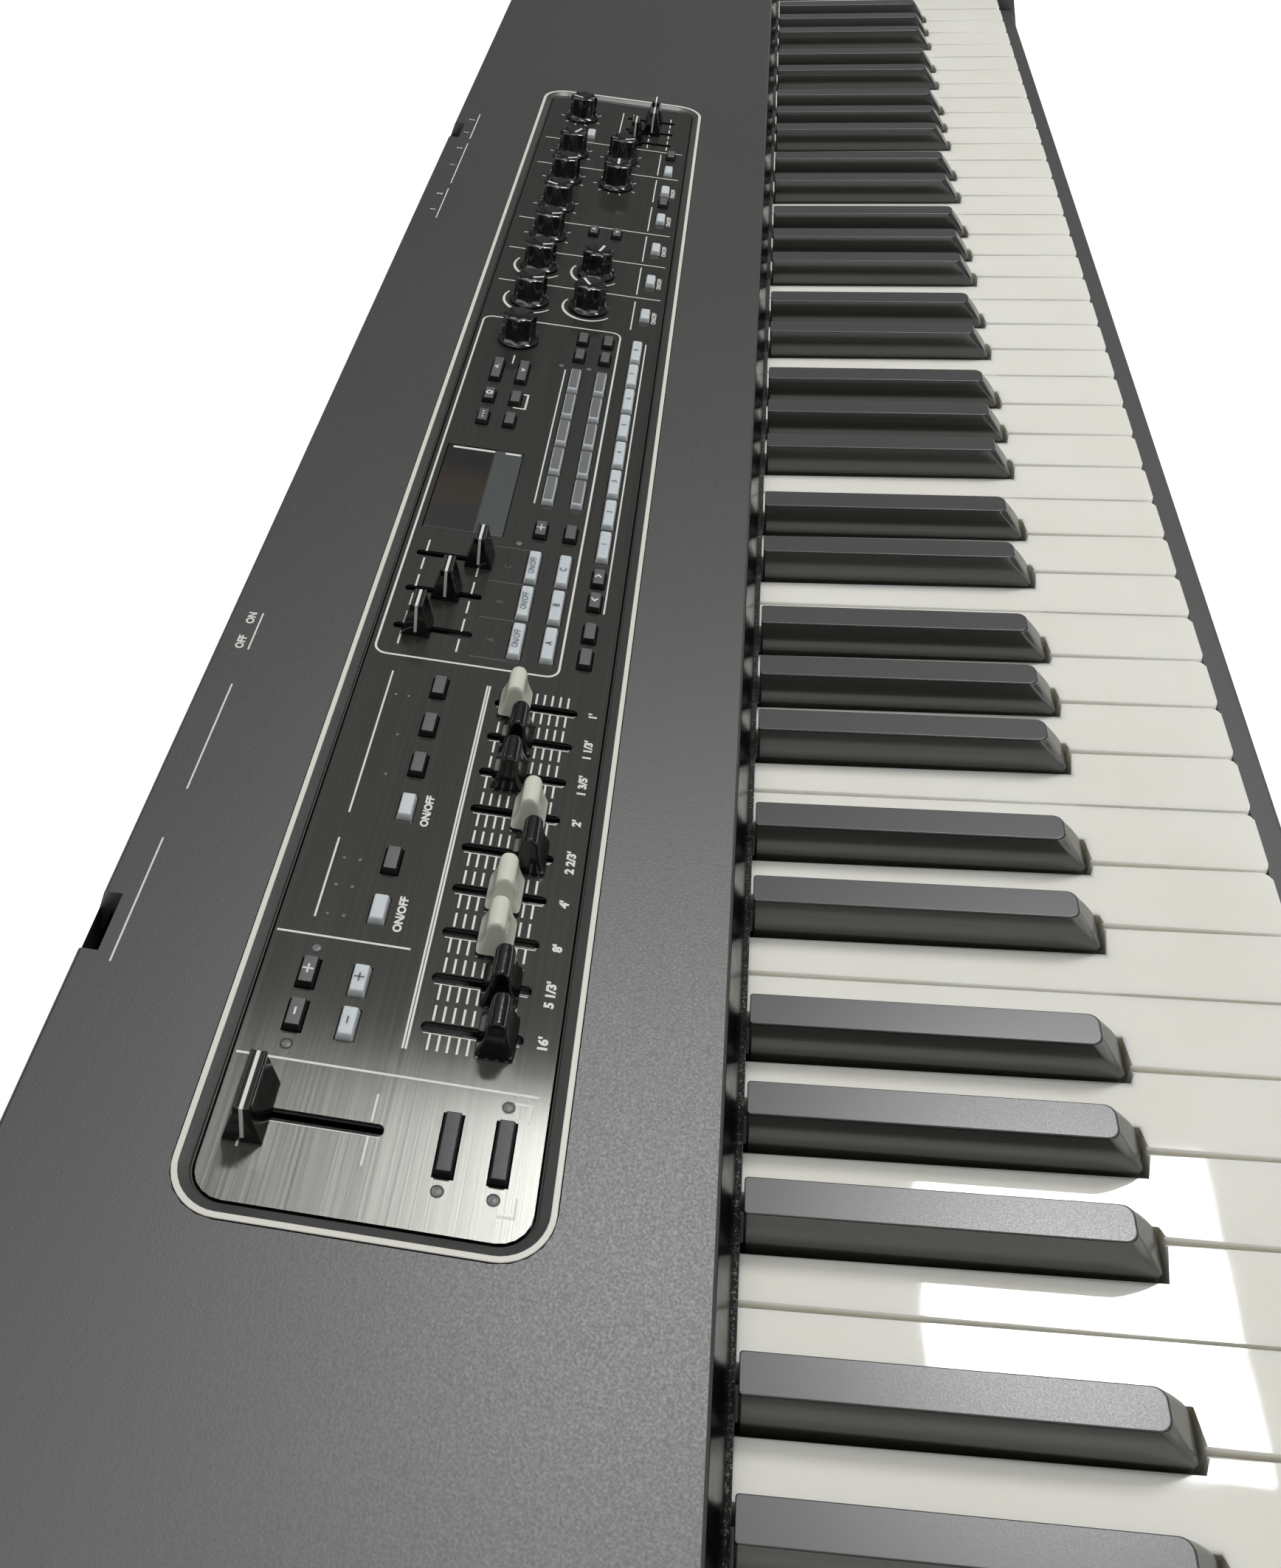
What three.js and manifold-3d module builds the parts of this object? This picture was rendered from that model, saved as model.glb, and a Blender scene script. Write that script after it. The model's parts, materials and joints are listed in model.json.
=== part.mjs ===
// Stage piano with 88 keys, built in millimetres, +Z up.
// Origin: middle of the footprint, on the ground. +X runs to the treble end, +Y to the rear.
// The control panel lies in a sloped frame: x along the body, s up the slope, n off the surface.
import * as THREE from 'three';
import { mergeVertices } from 'three/addons/utils/BufferGeometryUtils.js';
import Module from 'manifold-3d';

const wasm = await Module();
wasm.setup();

const mm = 1;
const deg = Math.PI / 180;

// Fits shared by all pieces
const gap = 0.3 * mm;            // running gap between pieces that touch
const overrun = 2 * mm;          // how far a cutter passes the face it cuts

// Sides and steps of round forms
const roundSideCount = 16;
const largeRoundSideCount = 24;
const socketSideCount = 14;
const collarSideCount = 6;
const shaftHoleSideCount = 12;
const pinSideCount = 10;
const ovalSideCount = 20;
const ringStepCount = 5;
const slotStepCount = 3;
const ridgeStepCount = 6;

// Body
const endBlockWidth = 53.5 * mm;
const keySideGap = 2 * mm;       // from the last key to the end block
const footHeight = 5 * mm;
const footRadius = 13 * mm;
const footEndInset = 73 * mm;    // from the inner face of the end block
const footEdgeInset = 47 * mm;   // from the front or rear of the body
const floorThickness = 3 * mm;
const shellThickness = 3 * mm;

// Keyboard
const naturalPitch = 23.5 * mm;
const naturalCount = 52;
const naturalGap = 1 * mm;
const keyTopZ = 101 * mm;
const keyFrontInset = 20 * mm;   // from the front of the body to the front of the keys
const naturalLength = 148 * mm;  // visible length
const naturalHeadLength = 50.5 * mm;
const naturalThickness = 12 * mm;
const naturalLipDepth = 20 * mm;
const naturalLipThickness = 3 * mm;
const naturalCornerRadius = 2 * mm;
const notchWidth = 15.4 * mm;
const sharpHeight = 12 * mm;
const sharpBaseWidth = 12.8 * mm;
const sharpTopWidth = 9.4 * mm;
const sharpFrontClearance = 2 * mm;
const sharpFrontSlope = 6 * mm;
const sharpEdge = 0.8 * mm;
const sharpRearInset = 1.6 * mm;
const sharpCornerRadius = 1.8 * mm;
const sharpSkirt = 10 * mm;
const sharpTailWidth = 8 * mm;
const sharpTailDrop = 2 * mm;
const sharpTailThickness = 8 * mm;
// sideways offset of each sharp from the gap between its naturals
const sharpOffsetC = -3.2 * mm;
const sharpOffsetD = 2.2 * mm;
const sharpOffsetF = -3.5 * mm;
const sharpOffsetG = -0.6 * mm;
const sharpOffsetA = 2.6 * mm;
const naturalBarStart = 45 * mm; // behind the visible end of the keys
const keyBarWidth = 6 * mm;
const keyBarGap = 6 * mm;
const barLap = 1 * mm;           // how far a comb's bar runs up into its keys
const naturalBarDepth = 9 * mm;
const sharpBarDepth = 11 * mm;

// Key frame under the keys
const frameSheet = 1.2 * mm;
const frameFlange = 10 * mm;
const frameLip = 20 * mm;
const frameFrontRailHeight = 70 * mm;
const frameFrontRailSetback = 17 * mm;
const frameEndClearance = 6 * mm;

// Top cover
const coverRise = 18 * mm;       // front edge of the cover above the key tops
const coverSlope = 8.31 * deg;
const coverWallHeight = 14.7 * mm;
const coverWallLean = 3.4 * mm;
const coverFrontSetback = 5.5 * mm;
const coverRearDrop = 30 * mm;
const coverRearLean = 13 * mm;
const coverRearInset = 3.243 * mm; // from the rear of the body to the rear flange
const feltThickness = 2 * mm;
const feltShowing = 1.3 * mm;
const feltTuck = 3.6 * mm;

// Key slip along the front
const slipTopDrop = 9 * mm;
const slipKeyGap = 2.8 * mm;
const slipTopWidth = 8.2 * mm;
const slipBulgeDrop = 26 * mm;
const slipBulge = 7.5 * mm;
const frontWallHeight = 23 * mm;
const slipFaceDrop = 52 * mm;

// Rear
const rearWallHeight = 33 * mm;
const jackPlateSetback = 9.5 * mm;
const jackPlateThickness = 2.5 * mm;

// Control panel, ring and board
const panelLength = 673.2 * mm;
const panelWidth = 77.9 * mm;
const panelCentreX = 3.8 * mm;
const panelFrontS = 41.8 * mm;   // up the slope from the front edge of the cover
const panelRearMargin = 46.3 * mm; // from the panel to the rear edge of the cover
const panelThickness = 1.5 * mm;
const panelRecess = 1.3 * mm;
const panelRadius = 8 * mm;
const ringLineWidth = 1.5 * mm;
const ringBevelWidth = 2.6 * mm;
const ringWidth = 4.9 * mm;
const ringProud = 0.4 * mm;
const ringLedge = 3 * mm;
const ringLedgeThickness = 1.5 * mm;
const ringBevelDepth = 1.9 * mm;
const boardDrop = 13.1 * mm;     // from the panel's top face to the board's top face
const boardThickness = 1.6 * mm;
const boardInset = 6.5 * mm;
const boardPostRadius = 2.5 * mm;

// Places on the panel, as shares of its length and width from the front left corner
const drawbarStartShare = 0.079;
const layerSliderStartShare = 0.302;
const equaliserStartShare = 0.926;
const masterSliderShare = 0.034;
const faderFrontShare = 0.112;
const layerFaderFrontShare = 0.6;
const masterFaderFrontShare = 0.483;
const upperKnobShare = 0.762;
const lowerKnobShare = 0.426;
const displayShares = [0.3838, 0.579];
const encoderShare = 0.59;
const knobStartShare = 0.643;
const lastKnobShare = 0.9605;
// distances between neighbours along the panel, as shares of its length
const faderPitchShare = 0.02234;
const wideButtonPitchShare = 0.02941;
const equaliserPitchShare = 0.02288;
const knobPitchShare = 0.04887;

// Sliders
const faderSlotLength = 26 * mm;
const masterSlotLength = 36 * mm;
const slotWidth = 3.3 * mm;
const slotTickMargin = 3.2 * mm;
const slotCornerShare = 0.46;      // corner radius of a slot, of its width
const faderStemWidth = 1.4 * mm;
const faderStemLength = 4 * mm;
const faderCapLength = 8.8 * mm;
const faderCapBase = 9.6 * mm;
const faderCapTop = 4.2 * mm;
const faderCapHeight = 12.6 * mm;
const masterCapLength = 16.4 * mm;
const drawbarBaseLength = 13.4 * mm;
const drawbarTopLength = 10.4 * mm;
const drawbarBaseWidth = 10 * mm;
const drawbarRidge = 5.3 * mm;
const drawbarHeight = 12.2 * mm;
// how far each cap stands along its travel in the photograph
const drawbarTravelShares = [0.18, 0.25, 0.43, 0.43, 0.19, 0.3, 0.7, 0.7, 0.84];
const layerTravelShares = [0.76, 0.45, 0.04];
const equaliserTravelShares = [0.86, 0.43, 0.43];
const masterTravelShare = 0.96;

// Knobs
const knobHeight = 12.3 * mm;
const knobSkirtRadius = 8.8 * mm;
const knobBodyRadius = 7.2 * mm;
const knobTopRadius = 7.1 * mm;
const knobRimHeight = 1 * mm;
const knobSkirtHeight = 2.6 * mm;
const knobEdge = 0.3 * mm;
const knobDish = 1 * mm;
const knobDishShare = 0.3;
const knobFluteCount = 8;
const knobFluteShare = 0.14;
const knobSideCount = 24;
const shaftRadius = 3 * mm;

// Buttons
const smallButtonLength = 9 * mm;
const wideButtonGap = 3.4 * mm;  // between the buttons of one row
const buttonWidth = 4.6 * mm;
const buttonProud = 2.2 * mm;
const buttonDraft = 0.5 * mm;
const buttonTravel = 0.8 * mm;
const webThickness = 1.1 * mm;
const webBarWidth = 2 * mm;
const webPaleDrop = 3 * mm;      // from the panel's top face to the pale web
const darkBodyDrop = 1.7 * mm;

// Bend and modulation levers
const leverPairInset = 48 * mm;  // from the inner face of the left end block
const leverSpacing = 38 * mm;
const leverS = 92 * mm;
const leverWidth = 10 * mm;
const leverPivotDrop = 32 * mm;
const leverProud = 15.4 * mm;
const leverTipThickness = 7 * mm;
const leverRootThickness = 11 * mm;
const leverHubRadius = 7 * mm;
const leverPinRadius = 3 * mm;
const leverSwing = 22 * deg;
const leverCheek = 3 * mm;
const leverCheekHalfLength = 12 * mm;

// Sockets and switches at the rear
const socketRowHeight = 76 * mm;
const jackBoreRadius = 3.3 * mm;
const jackShellRadius = 6 * mm;
const jackDepth = 20 * mm;
const jackCollar = 1.5 * mm;
const midiBoreRadius = 7.6 * mm;
const midiShellRadius = 10 * mm;
const midiDepth = 9 * mm;
const hostPortLength = 8.6 * mm;
const hostPortHeight = 8 * mm;
const devicePortLength = 13.2 * mm;
const devicePortHeight = 5.8 * mm;
const portDepth = 12 * mm;
const portWall = 1.5 * mm;
const inletBoreRadius = 3.2 * mm;
const inletPinRadius = 1 * mm;
const switchLength = 10 * mm;
const switchHeight = 5 * mm;
const switchProud = 2 * mm;
const powerButtonRadius = 5 * mm;
const gainKnobRadius = 4.5 * mm;
const gainKnobProud = 5 * mm;
const hostX = -268.5 * mm;
const deviceX = -242.2 * mm;
const midiInX = -205.2 * mm;
const midiOutX = -179.2 * mm;
const speakerSwitchX = -144 * mm;
const firstPedalX = 173.8 * mm;
const secondPedalX = 191.8 * mm;
const gainX = 209 * mm;
const leftInputX = 227 * mm;
const rightInputX = 248.5 * mm;
const leftOutputX = 269.5 * mm;
const rightOutputX = 287 * mm;
const phonesX = 330 * mm;
const inletInset = 93 * mm;      // from the inner face of the left end block
const powerInset = 133 * mm;

// Sockets for the music rest in the rear edge of the cover
const restSocketSpacing = 535 * mm;
const restSocketLength = 18.7 * mm;
const restSocketWidth = 5 * mm;
const restSocketDepth = 22 * mm;
const restSocketWall = 2 * mm;

// Speakers
const speakerEndInset = 183 * mm; // from the inner face of the end block
const speakerRearInset = 72 * mm;
const speakerHalfLength = 60 * mm;
const speakerHalfWidth = 30 * mm;
const speakerFlange = 2.5 * mm;
const speakerBasketShare = 0.9;
const speakerNeckShare = 0.55;
const speakerBasketHeight = 20 * mm;
const speakerMagnetRadius = 25 * mm;
const speakerMagnetHeight = 14 * mm;
const grilleSlotCount = 9;
const grilleSlotWidth = 4.5 * mm;
const grillePitch = 11 * mm;
const grilleSlotLength = 48 * mm;

// Places worked out from the sizes above
const coverSlopeLength = panelFrontS + panelWidth + panelRearMargin;
const bodyDepth = keyFrontInset + naturalLength + coverFrontSetback
  + coverSlopeLength * Math.cos(coverSlope) + coverRearLean + coverRearInset;
const innerX = naturalCount * naturalPitch / 2 + keySideGap;
const halfLength = innerX + endBlockWidth;
const halfDepth = bodyDepth / 2;
const floorTopZ = footHeight + floorThickness;
const keyFrontY = -halfDepth + keyFrontInset;
const keyRearY = keyFrontY + naturalLength;
const keyboardLeftX = -naturalCount * naturalPitch / 2;
const slopeY = keyRearY + coverFrontSetback;
const slopeZ = keyTopZ + coverRise;
const panelLeftX = panelCentreX - panelLength / 2;
const naturalBarY = keyRearY + naturalBarStart;
const sharpBarY = naturalBarY + keyBarWidth + keyBarGap;
const sharpTailTopZ = keyTopZ - sharpTailDrop;
const boardTopN = -panelRecess - boardDrop;
const faderPitch = faderPitchShare * panelLength;
const wideButtonPitch = wideButtonPitchShare * panelLength;
const wideButtonLength = wideButtonPitch - wideButtonGap;
const equaliserPitch = equaliserPitchShare * panelLength;
const knobPitch = knobPitchShare * panelLength;
const leverPairX = leverPairInset - innerX;
const inletX = inletInset - innerX;
const powerX = powerInset - innerX;
const speakerX = innerX - speakerEndInset;
const speakerY = halfDepth - speakerRearInset;
const footX = innerX - footEndInset;
const footY = halfDepth - footEdgeInset;

const atSlope = new THREE.Matrix4()
  .makeTranslation(0, slopeY, slopeZ)
  .multiply(new THREE.Matrix4().makeRotationX(coverSlope));

const panelX = (share) => panelLeftX + share * panelLength;
const panelS = (share) => panelFrontS + share * panelWidth;

// Solids
function toSolid(geometry) {
  const bare = geometry.index ? geometry.toNonIndexed() : geometry.clone();
  for (const name of Object.keys(bare.attributes)) {
    if (name !== 'position') bare.deleteAttribute(name);
  }
  const merged = mergeVertices(bare, 1e-4);
  return new wasm.Manifold(new wasm.Mesh({
    numProp: 3,
    vertProperties: new Float32Array(merged.attributes.position.array),
    triVerts: new Uint32Array(merged.index.array),
  }));
}

function toGeometry(solid) {
  const mesh = solid.getMesh();
  const positions = new Float32Array(mesh.triVerts.length * 3);
  mesh.triVerts.forEach((vertex, corner) => {
    const start = vertex * mesh.numProp;
    positions.set(mesh.vertProperties.subarray(start, start + 3), corner * 3);
  });
  const geometry = new THREE.BufferGeometry();
  geometry.setAttribute('position', new THREE.BufferAttribute(positions, 3));
  geometry.computeVertexNormals();
  return geometry;
}

const joined = (...solids) => solids.flat().reduce((a, b) => a.add(b));
const cutFrom = (solid, ...cutters) => cutters.flat().reduce((a, b) => a.subtract(b), solid);

function box(x0, x1, y0, y1, z0, z1, matrix) {
  const geometry = new THREE.BoxGeometry(x1 - x0, y1 - y0, z1 - z0);
  geometry.translate((x0 + x1) / 2, (y0 + y1) / 2, (z0 + z1) / 2);
  if (matrix) geometry.applyMatrix4(matrix);
  return toSolid(geometry);
}

function extruded(points, depth, matrix) {
  const shape = new THREE.Shape(points.map(([a, b]) => new THREE.Vector2(a, b)));
  const geometry = new THREE.ExtrudeGeometry(shape, { depth, bevelEnabled: false });
  geometry.applyMatrix4(matrix);
  return toSolid(geometry);
}

// an outline of [x, y] points between two heights
function prismZ(points, z0, z1, matrix) {
  const move = new THREE.Matrix4().makeTranslation(0, 0, z0);
  return extruded(points, z1 - z0, matrix ? matrix.clone().multiply(move) : move);
}

// an outline of [y, z] points from x0 to x1
function prismX(points, x0, x1) {
  const turn = new THREE.Matrix4().makeBasis(
    new THREE.Vector3(0, 1, 0), new THREE.Vector3(0, 0, 1), new THREE.Vector3(1, 0, 0));
  return extruded(points, x1 - x0, turn.setPosition(x0, 0, 0));
}

// an outline of [x, z] points from y0 to y1
function prismY(points, y0, y1) {
  const turn = new THREE.Matrix4().makeBasis(
    new THREE.Vector3(1, 0, 0), new THREE.Vector3(0, 0, 1), new THREE.Vector3(0, -1, 0));
  return extruded(points, y1 - y0, turn.setPosition(0, y1, 0));
}

function roundedOutline(x0, x1, y0, y1, radius, steps) {
  const corners = [[x1 - radius, y0 + radius], [x1 - radius, y1 - radius],
    [x0 + radius, y1 - radius], [x0 + radius, y0 + radius]];
  return corners.flatMap(([cx, cy], quarter) => Array.from({ length: steps + 1 }, (_, i) => {
    const angle = (quarter - 1 + i / steps) * Math.PI / 2;
    return [cx + radius * Math.cos(angle), cy + radius * Math.sin(angle)];
  }));
}

// closed solid through rings of the same number of [x, y, z] points, lowest ring first
function loft(rings, matrix) {
  const count = rings[0].length;
  const positions = [];
  const triangle = (a, b, c) => positions.push(...a, ...b, ...c);
  for (let r = 0; r + 1 < rings.length; r += 1) {
    for (let i = 0; i < count; i += 1) {
      const j = (i + 1) % count;
      triangle(rings[r][i], rings[r][j], rings[r + 1][j]);
      triangle(rings[r][i], rings[r + 1][j], rings[r + 1][i]);
    }
  }
  const bottom = rings[0];
  const top = rings[rings.length - 1];
  for (let i = 1; i + 1 < count; i += 1) {
    triangle(bottom[0], bottom[i + 1], bottom[i]);
    triangle(top[0], top[i], top[i + 1]);
  }
  const geometry = new THREE.BufferGeometry();
  geometry.setAttribute('position', new THREE.Float32BufferAttribute(positions, 3));
  if (matrix) geometry.applyMatrix4(matrix);
  return toSolid(geometry);
}

const ringAt = (outline, z) => outline.map(([x, y]) => [x, y, z]);

// round bar along one axis, from its low end
function bar(axis, radius, length, x, y, z, sides = roundSideCount) {
  const geometry = new THREE.CylinderGeometry(radius, radius, length, sides);
  if (axis === 'x') geometry.rotateZ(-Math.PI / 2).translate(length / 2, 0, 0);
  if (axis === 'y') geometry.translate(0, length / 2, 0);
  if (axis === 'z') geometry.rotateX(Math.PI / 2).translate(0, 0, length / 2);
  geometry.translate(x, y, z);
  return toSolid(geometry);
}

// Scene graph
const piano = new THREE.Group();
const slope = new THREE.Group();
slope.position.set(0, slopeY, slopeZ);
slope.rotation.x = coverSlope;
piano.add(slope);

const finish = (color, roughness, metalness = 0) =>
  new THREE.MeshStandardMaterial({ color, roughness, metalness });
const finishes = {
  cover: finish(0x4a4a47, 0.7),
  block: finish(0x434340, 0.7),
  bottom: finish(0x2b2b2a, 0.8),
  jackPlate: finish(0x2c2c2c, 0.6),
  panel: finish(0x38393a, 0.35, 0.8),
  ring: finish(0xdedcd2, 0.5),
  display: finish(0x15171b, 0.08),
  natural: finish(0xf0eee6, 0.2),
  sharp: finish(0x1d1d1f, 0.28),
  felt: finish(0x1b1b1c, 1),
  frame: finish(0x9a9da0, 0.45, 0.9),
  board: finish(0x2f6b45, 0.6),
  blackCap: finish(0x121213, 0.3),
  whiteCap: finish(0xdcdccb, 0.35),
  knob: finish(0x141415, 0.25),
  pale: finish(0xd3dadd, 0.35),
  dark: finish(0x444546, 0.5),
  speaker: finish(0x202022, 0.8),
};

function addPart(name, solid, material, parent = piano, x = 0, y = 0, z = 0) {
  const mesh = new THREE.Mesh(toGeometry(solid), material);
  mesh.name = name;
  mesh.position.set(x, y, z);
  parent.add(mesh);
}

// Keys: one moulded set of naturals and one of sharps for each octave
const noteNames = ['A', 'B', 'C', 'D', 'E', 'F', 'G'];
const sharpOffset = {
  C: sharpOffsetC, D: sharpOffsetD, F: sharpOffsetF, G: sharpOffsetG, A: sharpOffsetA,
};
const noteOf = (index) => noteNames[index % noteNames.length];
const gapX = (index) => keyboardLeftX + (index + 1) * naturalPitch; // right of natural index
const sharpX = (index) => gapX(index) + sharpOffset[noteOf(index)];
const hasSharp = (index) =>
  index >= 0 && index < naturalCount - 1 && noteOf(index) in sharpOffset;

function naturalKey(index) {
  const x0 = gapX(index - 1) + naturalGap / 2;
  const x1 = gapX(index) - naturalGap / 2;
  const tailX0 = hasSharp(index - 1) ? sharpX(index - 1) + notchWidth / 2 : x0;
  const tailX1 = hasSharp(index) ? sharpX(index) - notchWidth / 2 : x1;
  const headY = keyFrontY + naturalHeadLength;
  const rearY = naturalBarY + keyBarWidth;
  const front = roundedOutline(x0, x1, keyFrontY, headY, naturalCornerRadius, 1);
  const outline = [
    ...front.slice(0, 2), [x1, headY], [tailX1, headY], [tailX1, rearY],
    [tailX0, rearY], [tailX0, headY], [x0, headY], ...front.slice(6),
  ].filter(([x, y], i, all) => {
    const [nextX, nextY] = all[(i + 1) % all.length];
    return Math.hypot(nextX - x, nextY - y) > 1e-3;
  });
  const lip = [...front.slice(0, 2), [x1, keyFrontY + naturalLipThickness],
    [x0, keyFrontY + naturalLipThickness], ...front.slice(6)];
  return joined(prismZ(outline, keyTopZ - naturalThickness, keyTopZ),
    prismZ(lip, keyTopZ - naturalLipDepth, keyTopZ - naturalThickness / 2));
}

function naturalSet(first, last) {
  const keys = [];
  for (let index = first; index <= last; index += 1) keys.push(naturalKey(index));
  const barTop = keyTopZ - naturalThickness + barLap;
  const rearBar = box(gapX(first - 1) + naturalGap / 2, gapX(last) - naturalGap / 2,
    naturalBarY, naturalBarY + keyBarWidth, barTop - naturalBarDepth, barTop);
  return joined(keys, rearBar);
}

function sharpKey(index) {
  const x = sharpX(index);
  const y0 = keyFrontY + naturalHeadLength + sharpFrontClearance;
  const y1 = keyRearY - sharpRearInset;
  const outlineAt = (z, width, frontY, rearY) => ringAt(roundedOutline(
    x - width / 2, x + width / 2, frontY, rearY, sharpCornerRadius, 1), z);
  const shoulderZ = keyTopZ + sharpHeight - sharpEdge;
  const shoulderWidth = sharpTopWidth + sharpEdge;
  const cap = loft([
    outlineAt(keyTopZ - sharpSkirt, sharpBaseWidth, y0, y1),
    outlineAt(keyTopZ + sharpEdge, sharpBaseWidth, y0, y1),
    outlineAt(shoulderZ, shoulderWidth, y0 + sharpFrontSlope - sharpEdge, y1),
    outlineAt(keyTopZ + sharpHeight, sharpTopWidth - sharpEdge, y0 + sharpFrontSlope + sharpEdge,
      y1 - sharpEdge / 2),
  ]);
  const tail = box(x - sharpTailWidth / 2, x + sharpTailWidth / 2, y1 - overrun,
    sharpBarY + keyBarWidth, sharpTailTopZ - sharpTailThickness, sharpTailTopZ);
  return joined(cap, tail);
}

function sharpSet(indices) {
  const first = indices[0];
  const last = indices[indices.length - 1];
  const rearBar = box(sharpX(first) - notchWidth / 2, sharpX(last) + notchWidth / 2,
    sharpBarY, sharpBarY + keyBarWidth, sharpTailTopZ - sharpBarDepth, sharpTailTopZ);
  return joined(indices.map(sharpKey), rearBar);
}

const octaveCount = 7;
const lowNaturalCount = 2;       // naturals below the first C
for (let octave = 1; octave <= octaveCount; octave += 1) {
  const first = octave === 1 ? 0 : lowNaturalCount + noteNames.length * (octave - 1);
  const last = octave === octaveCount ? naturalCount - 1 : lowNaturalCount + noteNames.length * octave - 1;
  const indices = [];
  for (let index = first; index <= last; index += 1) if (hasSharp(index)) indices.push(index);
  addPart(`naturals_octave_${octave}`, naturalSet(first, last), finishes.natural);
  addPart(`sharps_octave_${octave}`, sharpSet(indices), finishes.sharp);
}

// Key frame: one folded sheet, with the front stop flange and the rear rails for the key bars
function keyFrame() {
  const t = frameSheet;
  const z0 = floorTopZ + gap;
  const frontTopZ = z0 + frameFrontRailHeight;
  const frontY = keyFrontY + frameFrontRailSetback;
  const naturalRailZ = keyTopZ - naturalThickness + barLap - naturalBarDepth - gap;
  const sharpRailZ = sharpTailTopZ - sharpBarDepth - gap;
  const rearY = sharpBarY + keyBarWidth;
  const outline = [
    [frontY, z0], [rearY, z0], [rearY, sharpRailZ], [sharpBarY, sharpRailZ],
    [sharpBarY, naturalRailZ], [naturalBarY, naturalRailZ], [naturalBarY, naturalRailZ - frameLip],
    [naturalBarY + t, naturalRailZ - frameLip], [naturalBarY + t, naturalRailZ - t],
    [sharpBarY + t, naturalRailZ - t], [sharpBarY + t, sharpRailZ - t],
    [rearY - t, sharpRailZ - t], [rearY - t, z0 + t], [frontY + t, z0 + t],
    [frontY + t, frontTopZ - t], [frontY + frameFlange, frontTopZ - t],
    [frontY + frameFlange, frontTopZ], [frontY, frontTopZ],
  ];
  const endX = innerX - frameEndClearance;
  return prismX(outline, -endX, endX);
}
addPart('key_frame', keyFrame(), finishes.frame);

// Top cover: sloped sheet with its front wall, rear flange, rest sockets and lever cheeks
function topCover() {
  const t = shellThickness;
  const sin = Math.sin(coverSlope);
  const cos = Math.cos(coverSlope);
  const onSlope = (s, n) => [slopeY + s * cos - n * sin, slopeZ + s * sin + n * cos];
  const [rearY, rearZ] = onSlope(coverSlopeLength, 0);
  const [, innerFrontZ] = onSlope(t, -t);
  const [innerRearY, innerRearZ] = onSlope(coverSlopeLength - t, -t);
  const wallZ = slopeZ - coverWallHeight;
  const flangeY = rearY + coverRearLean;
  const flangeZ = rearZ - coverRearDrop;
  const plateRearY = halfDepth - jackPlateSetback + gap;
  const outline = [
    [slopeY - coverWallLean, wallZ], [slopeY - coverWallLean + t, wallZ],
    [slopeY + t, innerFrontZ], [innerRearY, innerRearZ],
    [flangeY - t, flangeZ + t], [plateRearY, flangeZ + t], [plateRearY, flangeZ],
    [flangeY, flangeZ], [rearY, rearZ], [slopeY, slopeZ],
  ];
  const sheet = prismX(outline, -innerX + gap, innerX - gap);

  const opening = prismZ(ringOutline(-gap), -t - overrun, overrun, atSlope);

  const restWalls = [];
  const restCuts = [];
  for (const side of [-1, 1]) {
    const x = panelCentreX + side * restSocketSpacing / 2;
    const halfX = restSocketLength / 2;
    const s1 = coverSlopeLength + overrun;
    const s0 = coverSlopeLength - restSocketWidth;
    const wall = restSocketWall;
    restWalls.push(box(x - halfX - wall, x + halfX + wall, s0 - wall, coverSlopeLength - t / 2,
      -restSocketDepth - wall, -t / 2, atSlope));
    restCuts.push(box(x - halfX, x + halfX, s0, s1, -restSocketDepth, overrun, atSlope));
  }

  const cheeks = [];
  const leverCuts = [];
  const pinHoles = [];
  const slotHalfWidth = leverWidth / 2 + 2 * gap;
  const slotHalfLength = leverPivotDrop * Math.tan(leverSwing) + leverRootThickness / 2 + gap;
  for (const x of [leverPairX - leverSpacing / 2, leverPairX + leverSpacing / 2]) {
    leverCuts.push(box(x - slotHalfWidth, x + slotHalfWidth, leverS - slotHalfLength,
      leverS + slotHalfLength, -t - overrun, overrun, atSlope));
    for (const side of [-1, 1]) {
      const face = x + side * (leverWidth / 2 + gap + leverCheek / 2);
      cheeks.push(box(face - leverCheek / 2, face + leverCheek / 2, leverS - leverCheekHalfLength,
        leverS + leverCheekHalfLength, -leverPivotDrop - leverHubRadius, -t / 2, atSlope));
    }
    const hole = new THREE.CylinderGeometry(leverPinRadius + gap, leverPinRadius + gap,
      2 * (leverWidth + leverCheek), roundSideCount);
    hole.rotateZ(Math.PI / 2).translate(x, leverS, -leverPivotDrop).applyMatrix4(atSlope);
    pinHoles.push(toSolid(hole));
  }
  const shell = cutFrom(joined(sheet, restWalls, cheeks), opening, restCuts, pinHoles);
  return cutFrom(shell, leverCuts);
}

// outline of the ring around the panel, moved inward by inset
function ringOutline(inset) {
  const out = ringWidth + gap - inset;
  return roundedOutline(panelLeftX - out, panelLeftX + panelLength + out, panelFrontS - out,
    panelFrontS + panelWidth + out, panelRadius + out, ringStepCount);
}
addPart('top_cover', topCover(), finishes.cover);

// Ring: light line, bevel down to the panel, and the ledge that carries the panel
function panelRing() {
  const ledgeTopN = -panelRecess - panelThickness - gap;
  const outer = prismZ(ringOutline(0), ledgeTopN - ringLedgeThickness, ringProud);
  const bevel = loft([
    ringAt(ringOutline(ringLineWidth + ringBevelWidth), ringProud - ringBevelDepth),
    ringAt(ringOutline(ringLineWidth), ringProud),
    ringAt(ringOutline(ringLineWidth), ringProud + overrun),
  ]);
  const seat = prismZ(ringOutline(ringWidth), ledgeTopN, overrun);
  const through = prismZ(ringOutline(ringWidth + ringLedge), ledgeTopN - overrun * 2, overrun);
  return cutFrom(outer, bevel, seat, through);
}
addPart('panel_ring', panelRing(), finishes.ring, slope);

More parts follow.
